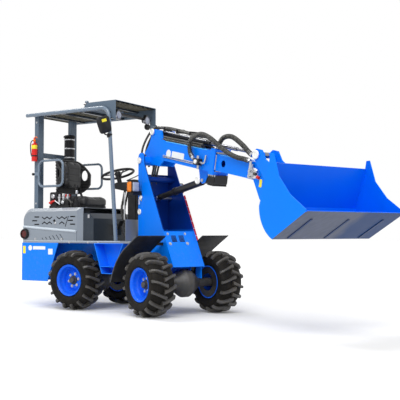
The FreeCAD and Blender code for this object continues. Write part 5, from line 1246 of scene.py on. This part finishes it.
def ferrule(name, end, inner, body):
    """The crimped steel sleeve on a boom hose's end, laid from the end towards inner, and its hexagon nut."""
    way = (inner - end) / np.linalg.norm(inner - end)
    rod(name, end - way * 0.012, end + way * 0.045, BOOM_HOSE * 0.92, "bare_steel", body, BOOM, 20)
    rod(f"{name}_nut", end - way * 0.03, end - way * 0.012, BOOM_HOSE, "bare_steel", body, BOOM, 6)


def boom_hoses():
    """Two thick guarded hoses that arch from the boom to the sliding box, with a ferrule at each end."""
    outer = [
        (0.862, -0.13, 0.155), (0.822, -0.13, 0.19), (0.79, -0.13, 0.265), (0.815, -0.13, 0.335),
        (0.952, -0.128, 0.397), (1.107, -0.125, 0.377), (1.265, -0.12, 0.316), (1.417, -0.115, 0.265),
        (1.54, -0.11, 0.241), (1.635, -0.106, 0.238), (1.708, -0.102, 0.233),
    ]
    inner = [
        (1.165, -0.055, 0.275), (1.185, -0.055, 0.338), (1.235, -0.055, 0.395), (1.33, -0.058, 0.42),
        (1.424, -0.06, 0.408), (1.57, -0.07, 0.356), (1.645, -0.074, 0.319), (1.702, -0.077, 0.293),
    ]
    for name, points in (("boom_hose_outer", outer), ("boom_hose_inner", inner)):
        path = smooth_path(points, 640)
        thing = tube_piece(name, path, BOOM_HOSE, "hose_guard", None, BOOM, 14, 0.2, 0.018)
        start, end = tuple(at(points[2], BOOM)), tuple(at(points[-2], BOOM))
        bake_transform(thing)
        ferrule(f"{name}_ferrule_near", path[0], path[10], "boom")
        ferrule(f"{name}_ferrule_far", path[-1], path[-11], "telescope")


def cylinder_lines():
    """Three guarded lines that lie along the tilt cylinder, under three clips."""
    for number, (y, z) in enumerate(((-0.03, 0.383), (0.004, 0.389), (0.036, 0.381))):
        points = [(0.03, y, z - 0.005), (0.2, y, z + 0.004), (0.42, y * 0.9, z - 0.002), (0.65, y, z - 0.012)]
        points.append((0.86, y, z - 0.018))
        bent(f"cylinder_hose_{number}", points, 260, 0.0125, "hose_guard", *ON_BARREL, 12, 0.12, 0.014)
    for number, x in enumerate((0.16, 0.4, 0.64)):
        low, high = (x, -0.05, 0.356), (x + 0.018, 0.056, 0.4)
        block(f"hose_clip_{number}", low, high, "black_steel", *ON_BARREL, 0.008, 0.002, "X")


def tail_hoses():
    """Two hoses that hang from the boom's rear end into the mast."""
    for number, y in enumerate((-0.03, 0.022)):
        tail = [(0.04, y, 0.384), (-0.04, y, 0.366), (-0.12, y, 0.315), (-0.2, y, 0.215), (-0.25, y, 0.1)]
        tail += [(-0.235, y, -0.01), (-0.15, y, -0.075)]
        loop = bent(f"tail_hose_{number}", tail, 320, 0.0115, "hose_guard", None, BOOM, 12, 0.1, 0.013)
        tuple(at(tail[-1], BOOM))
        tuple(at(tail[1], BOOM))
        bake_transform(loop)


def boom_lines():
    """Five guarded lines along the boom's top, three on its right and two on its left."""
    rows = ((-0.078, 0.2685), (-0.052, 0.2685), (-0.065, 0.291), (0.052, 0.2685), (0.078, 0.2685))
    for number, (y, z) in enumerate(rows):
        points = [(0.2, y, z), (0.45, y, z), (0.7, y - 0.002, z), (0.93, y, z)]
        bent(f"boom_line_{number}", points, 200, 0.0125, "hose_guard", *ON_BOOM, 12, 0.1, 0.014)


def painted_edge_highlights():
    """Painted highlights for the light that the rounded upper edges of both boxes catch: a thin round bead in a
    lighter blue along each edge.
    """
    for side, word in SIDES:
        edge = [(x, side * 0.0895, 0.2515) for x in (0.3, 0.6, 0.85, 1.05)]
        bent(f"outer_edge_highlight_{word}", edge, 30, 0.0055, "edge_blue", *ON_BOOM, 12)
        edge = [(x, side * 0.0675, 0.2265) for x in (0.62, 0.8, 0.95, 1.06)]
        bent(f"inner_edge_highlight_{word}", edge, 30, 0.0045, "edge_blue", *ON_INNER, 12)


def cylinder_guards():
    """The steel pipe along the tilt cylinder, and the ribbed guard on the lift cylinder's rod."""
    rod("cylinder_pipe", (0.12, -0.036, 0.352), (0.94, -0.034, 0.333), 0.009, "bare_steel", *ON_BARREL)
    path = np.linspace((0.175, 0, -0.3694), (0.45, 0, -0.2627), 60)
    tube_piece("lift_rod_guard", path, 0.0285, "black_plastic", "lift_rod", BOOM, 24, 0.06, 0.02)


def boom_caps():
    """Caps on the pins of both boxes, and the weld down the outer box's front end."""
    for side, word in SIDES:
        for name, x, y, z, radius, thick, body, place, dish in (
            ("tilt_base_cap", 0.025, 0.0985, 0.327, 0.036, 0.014, *ON_BOOM, 0.003),
            ("lift_ear_cap", 0.96, 0.0985, -0.065, 0.04, 0.014, *ON_BOOM, 0.003),
            ("tilt_pivot_cap", 1.51, 0.1155, 0.02, 0.034, 0.01, *ON_INNER, 0.002),
        ):
            disc(f"{name}_{word}", (x, side * y, z), radius, thick, "bright_plate", body, place, side, dish)
        start, end = (1.112, side * 0.0915, 0.03), (1.112, side * 0.0915, 0.25)
        rod(f"boom_weld_{word}", start, end, 0.005, "blue_paint", *ON_BOOM)


def boom_labels():
    """A round and a long label, both blank, on each flank of the boom."""
    for side, ending in ((-1, ""), (1, "_left")):
        low_y, high_y = span(side, 0.0895, 0.0915)
        low, high = (0.33, low_y, 0.088), (0.415, high_y, 0.173)
        block(f"boom_label_round{ending}", low, high, "label_white", *ON_BOOM, 0.042, 0)
        low, high = (0.435, low_y, 0.098), (0.66, high_y, 0.165)
        block(f"boom_label{ending}", low, high, "label_white", *ON_BOOM, 0.008, 0)


def boom_valve():
    """The valve on the boom's right flank, its four ports, its face and the elbow that leaves it."""
    block("boom_valve", (0.9, -0.142, 0.085), (0.99, -0.09, 0.15), "black_steel", *ON_BOOM, 0.008)
    ports = (
        ((0.855, -0.125, 0.145), (0.915, -0.125, 0.128), 0.015),
        ((0.945, -0.118, 0.145), (0.945, -0.118, 0.18), 0.014),
        ((0.985, -0.118, 0.118), (1.025, -0.118, 0.112), 0.014),
        ((0.96, -0.118, 0.045), (0.96, -0.118, 0.09), 0.012),
    )
    for number, (start, end, radius) in enumerate(ports):
        rod(f"boom_valve_port_{number}", start, end, radius, "bare_steel", *ON_BOOM, 6)
    disc("boom_valve_face", (0.945, -0.142, 0.118), 0.022, 0.016, "bright_plate", *ON_BOOM)
    elbow = [(1.02, -0.118, 0.112), (1.055, -0.118, 0.12), (1.068, -0.118, 0.16), (1.07, -0.116, 0.2)]
    bent("boom_elbow", elbow, 30, 0.009, "bare_steel", *ON_BOOM, 14)


def collar_details():
    """The lumps, panel and bolts of the housing under the boom's front collar."""
    for number, x in enumerate((1.105, 1.14, 1.175)):
        low, high = (x, -0.086, -0.09), (x + 0.026, 0.086, -0.072)
        block(f"collar_lump_{number}", low, high, "black_plastic", *ON_BOOM, 0.006)
    low, high = (1.1, -0.0835, -0.06), (1.205, -0.0775, 0.0)
    block("collar_panel", low, high, "black_plastic", *ON_BOOM, 0.012, 0.002)
    centres = [(x, -0.0775, 0.012) for x in (1.105, 1.135, 1.165, 1.2)]
    bolts("collar_bolts", centres, (0, -1, 0), 0.008, *ON_BOOM)


def coupler():
    """The coupler at the sliding box's end: its disc and core, three ports, a red cap and a blank label."""
    disc("coupler_disc", (1.182, -0.0825, 0.125), 0.05, 0.016, "bright_plate", *ON_INNER, -1, 0.004)
    disc("coupler_core", (1.215, -0.094, 0.125), 0.016, 0.03, "iron", *ON_INNER)
    ports = (
        ((1.132, -0.105, 0.16), (1.132, -0.105, 0.232), 0.013),
        ((1.16, -0.1, 0.15), (1.16, -0.1, 0.205), 0.012),
        ((1.2, -0.105, 0.14), (1.24, -0.105, 0.146), 0.013),
    )
    for number, (start, end, radius) in enumerate(ports):
        rod(f"coupler_port_{number}", start, end, radius, "bare_steel", *ON_INNER, 6)
    rod("coupler_cap", (1.24, -0.1, 0.1), (1.268, -0.1, 0.094), 0.015, "red_paint", *ON_INNER)
    low, high = (1.262, -0.0838, 0.012), (1.298, -0.0822, 0.084)
    block("coupler_label", low, high, "label_yellow", *ON_INNER, 0.008, 0)


def boom_details():
    """Everything on the boom, its sliding box and the two cylinders."""
    boom_hoses()
    cylinder_lines()
    tail_hoses()
    boom_lines()
    painted_edge_highlights()
    cylinder_guards()
    boom_caps()
    boom_labels()
    boom_valve()
    collar_details()
    coupler()


# ---------------------------------------------------------------- bucket


def bucket_details():
    """Caps of the hitch's pins, and the bolts of the cutting edge."""
    for side, word in SIDES:
        centre = (-0.053, side * 0.1145, 0.414)
        disc(f"hitch_cap_{word}", centre, 0.042, 0.014, "bright_plate", *ON_BUCKET, side, 0.003)
    centres = [(0.6, y, -0.5915) for y in np.linspace(-0.48, 0.48, 7)]
    bolts("edge_bolts", centres, (0, 0, 1), 0.016, *ON_BUCKET)


# ---------------------------------------------------------------- rear


def rear_lamp(side, word):
    """A rear lamp's domed bezel, open in the middle, and its red glass."""
    face = REAR @ moved(-1.468, side * 0.4375, 0.842)
    ring = [(0.044, 0.024), (0.047, 0.03), (0.056, 0.026), (0.061, 0.012), (0.062, 0)]
    dome = lathe([(radius, side * out) for radius, out in ring])
    throat = lathe([(0.044, side * 0.024), (0.044, 0)])
    shape = Shape().grid(dome, around_columns=True).grid(throat, around_columns=True, flip=True)
    bezel = shape.made(f"rear_lamp_bezel_{word}", "black_plastic", REAR_BODY, face)
    wall = bezel.modifiers.new("wall", "SOLIDIFY")
    wall.thickness, wall.offset = 0.003, -1
    glass = [(0.043, 0), (0.043, side * 0.018), (0.03, side * 0.023), (0.012, side * 0.025)]
    lamp_piece = turned_piece(f"rear_lamp_glass_{word}", glass, "red_lens", REAR_BODY, face, 48)
    if side < 0:
        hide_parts("rear_lamps")


def rear_labels(side, word):
    """Four blank labels on one flank of the rear body."""
    low_y, high_y = span(side, 0.4398, 0.4412)
    for name, low_x, high_x, low_z, high_z, finish, corner in (
        ("tall", -1.497, -1.456, 0.615, 0.702, "label_yellow", 0.005),
        ("square", -1.1, -1.032, 0.607, 0.672, "label_white", 0.005),
        ("round", -1.412, -1.352, 0.65, 0.71, "label_white", 0.0295),
        ("long", -1.338, -1.145, 0.662, 0.7, "label_white", 0.005),
    ):
        low, high = (low_x, low_y, low_z), (high_x, high_y, high_z)
        block(f"label_{name}_{word}", low, high, finish, *ON_REAR, corner, 0)


def rear_flank(side, word):
    """A near-black sheet behind the vents as painted shade, the lip and strip under the hood in a light grey as
    painted highlights, bolts, and two catches.
    """
    # a near-black sheet behind the hood's vents: painted shade
    low_y, high_y = span(side, 0.418, 0.4235)
    low, high = (-1.37, low_y, 0.94), (-0.74, high_y, 1.085)
    block(f"vent_shade_sheet_{word}", low, high, "dark_hollow", *ON_REAR, 0, 0)
    # the lip along the skirt's top, in light grey: painted highlight
    lip = [(-1.495, 0.927), (-1.22, 0.908), (-0.95, 0.8895), (-0.685, 0.8715)]
    lip = [(x, side * 0.4345, z) for x, z in lip]
    bent(f"skirt_lip_highlight_{word}", lip, 40, 0.0145, "edge_trim", *ON_REAR, 14)
    # the strip along the deck's edge, in light grey: painted highlight
    low_y, high_y = span(side, 0.4395, 0.4425)
    low, high = (-1.498, low_y, 0.7575), (-0.06, high_y, 0.7655)
    block(f"deck_strip_highlight_{word}", low, high, "edge_trim", *ON_REAR, 0, 0.0008)
    centres = [(x, side * 0.4375, 0.782) for x in (-1.305, -0.9)]
    bolts(f"skirt_bolts_{word}", centres, (0, side, 0), 0.01, *ON_REAR)
    centres = [(x, side * 0.4405, 0.752) for x in (-0.78, -0.507, -0.36)]
    bolts(f"deck_bolts_{word}", centres, (0, side, 0), 0.01, *ON_REAR)
    disc(f"hood_catch_{word}", (-1.0, side * 0.4305, 0.965), 0.013, 0.01, "bare_steel", *ON_REAR, side)
    low_y, high_y = span(side, 0.38, 0.386)
    low, high = (-0.56, low_y, 1.02), (-0.535, high_y, 1.06)
    block(f"console_catch_{word}", low, high, "bare_steel", *ON_REAR, 0.004, 0.001)


def rear_details():
    """Everything on the flanks and the back of the rear frame."""
    for side, word in SIDES:
        rear_lamp(side, word)
        rear_labels(side, word)
        rear_flank(side, word)
    rod("tow_pin", (-1.553, 0, 0.415), (-1.553, 0, 0.53), 0.0115, "bare_steel", *ON_REAR)


front_details()
boom_details()
bucket_details()
rear_details()


# ---------------------------------------------------------------- stage, lamps and camera


FLOOR_TONE, FLOOR_GLOW = 0.84, 0.06
SURROUND = 0.55


def floor():
    """A white floor that keeps the shadow, a little brighter to the eye than its colour under the lamps."""
    mesh = bpy.data.meshes.new("floor")
    mesh.from_pydata([(-60, -60, 0), (60, -60, 0), (60, 60, 0), (-60, 60, 0)], [], [(0, 1, 2, 3)])
    thing = bpy.data.objects.new("floor", mesh)
    bpy.context.scene.collection.objects.link(thing)
    finish = Finish("floor_white", (FLOOR_TONE, FLOOR_TONE, FLOOR_TONE), 0.9)
    finish.set("Specular IOR Level", 0.0)
    ray = finish.add("ShaderNodeLightPath", {}, {}, "Is Camera Ray")
    glow = finish.add("ShaderNodeEmission", {}, {"Strength": ray * FLOOR_GLOW})
    both = finish.add("ShaderNodeAddShader", {}, {0: Field(finish, finish.shader.outputs[0]), 1: glow})
    finish.put(finish.output.inputs[0], both)
    mesh.materials.append(finish.material)


def surround():
    """A world that is white to the eye and to reflections, and lights the machine more softly."""
    world = bpy.data.worlds.new("surround")
    bpy.context.scene.world = world
    world.use_nodes = True
    tree = world.node_tree
    tree.nodes.clear()
    output = tree.nodes.new("ShaderNodeOutputWorld")
    background = tree.nodes.new("ShaderNodeBackground")
    background.inputs["Color"].default_value = (1, 1, 1, 1)
    path = tree.nodes.new("ShaderNodeLightPath")
    seen = path.outputs["Is Camera Ray"]
    for kind in ("Is Glossy Ray", "Is Transmission Ray"):
        either = tree.nodes.new("ShaderNodeMath")
        either.operation = "MAXIMUM"
        tree.links.new(seen, either.inputs[0])
        tree.links.new(path.outputs[kind], either.inputs[1])
        seen = either.outputs[0]
    strength = tree.nodes.new("ShaderNodeMapRange")
    strength.inputs["To Min"].default_value = SURROUND
    strength.inputs["To Max"].default_value = 1.0
    tree.links.new(seen, strength.inputs[0])
    tree.links.new(strength.outputs[0], background.inputs["Strength"])
    tree.links.new(background.outputs[0], output.inputs[0])


def lamp(name, azimuth, elevation, strength, softness):
    """A distant lamp, softness degrees wide: azimuth 0 shines along +Y and 90 along -X."""
    data = bpy.data.lights.new(name, "SUN")
    data.energy, data.angle = strength, math.radians(softness)
    thing = bpy.data.objects.new(name, data)
    bpy.context.scene.collection.objects.link(thing)
    turn, rise = math.radians(azimuth), math.radians(elevation)
    back = Vector((math.sin(turn) * math.cos(rise), -math.cos(turn) * math.cos(rise), math.sin(rise)))
    thing.rotation_mode = "QUATERNION"
    thing.rotation_quaternion = back.to_track_quat("Z", "Y")


EYE = (5.208, -7.138, 0.859)
EYE_TURN, EYE_RISE = 32.38, 2.36


def camera():
    """The camera stands to the right of the machine's nose, at a child's height, and looks slightly up."""
    data = bpy.data.cameras.new("view")
    data.sensor_width, data.lens = 36.0, 70.8
    thing = bpy.data.objects.new("view", data)
    bpy.context.scene.collection.objects.link(thing)
    thing.location = at(EYE, REAR)
    turn, rise = math.radians(EYE_TURN), math.radians(EYE_RISE)
    ahead = Vector((-math.sin(turn) * math.cos(rise), math.cos(turn) * math.cos(rise), math.sin(rise)))
    thing.rotation_mode = "QUATERNION"
    thing.rotation_quaternion = ahead.to_track_quat("-Z", "Y")
    data.clip_start, data.clip_end = 0.1, 400
    bpy.context.scene.camera = thing


floor()
surround()
lamp("key", 25, 45, 2.3, 50)
lamp("edge", -95, 57, 0.95, 18)
camera()
bpy.context.scene.view_settings.view_transform = "Standard"
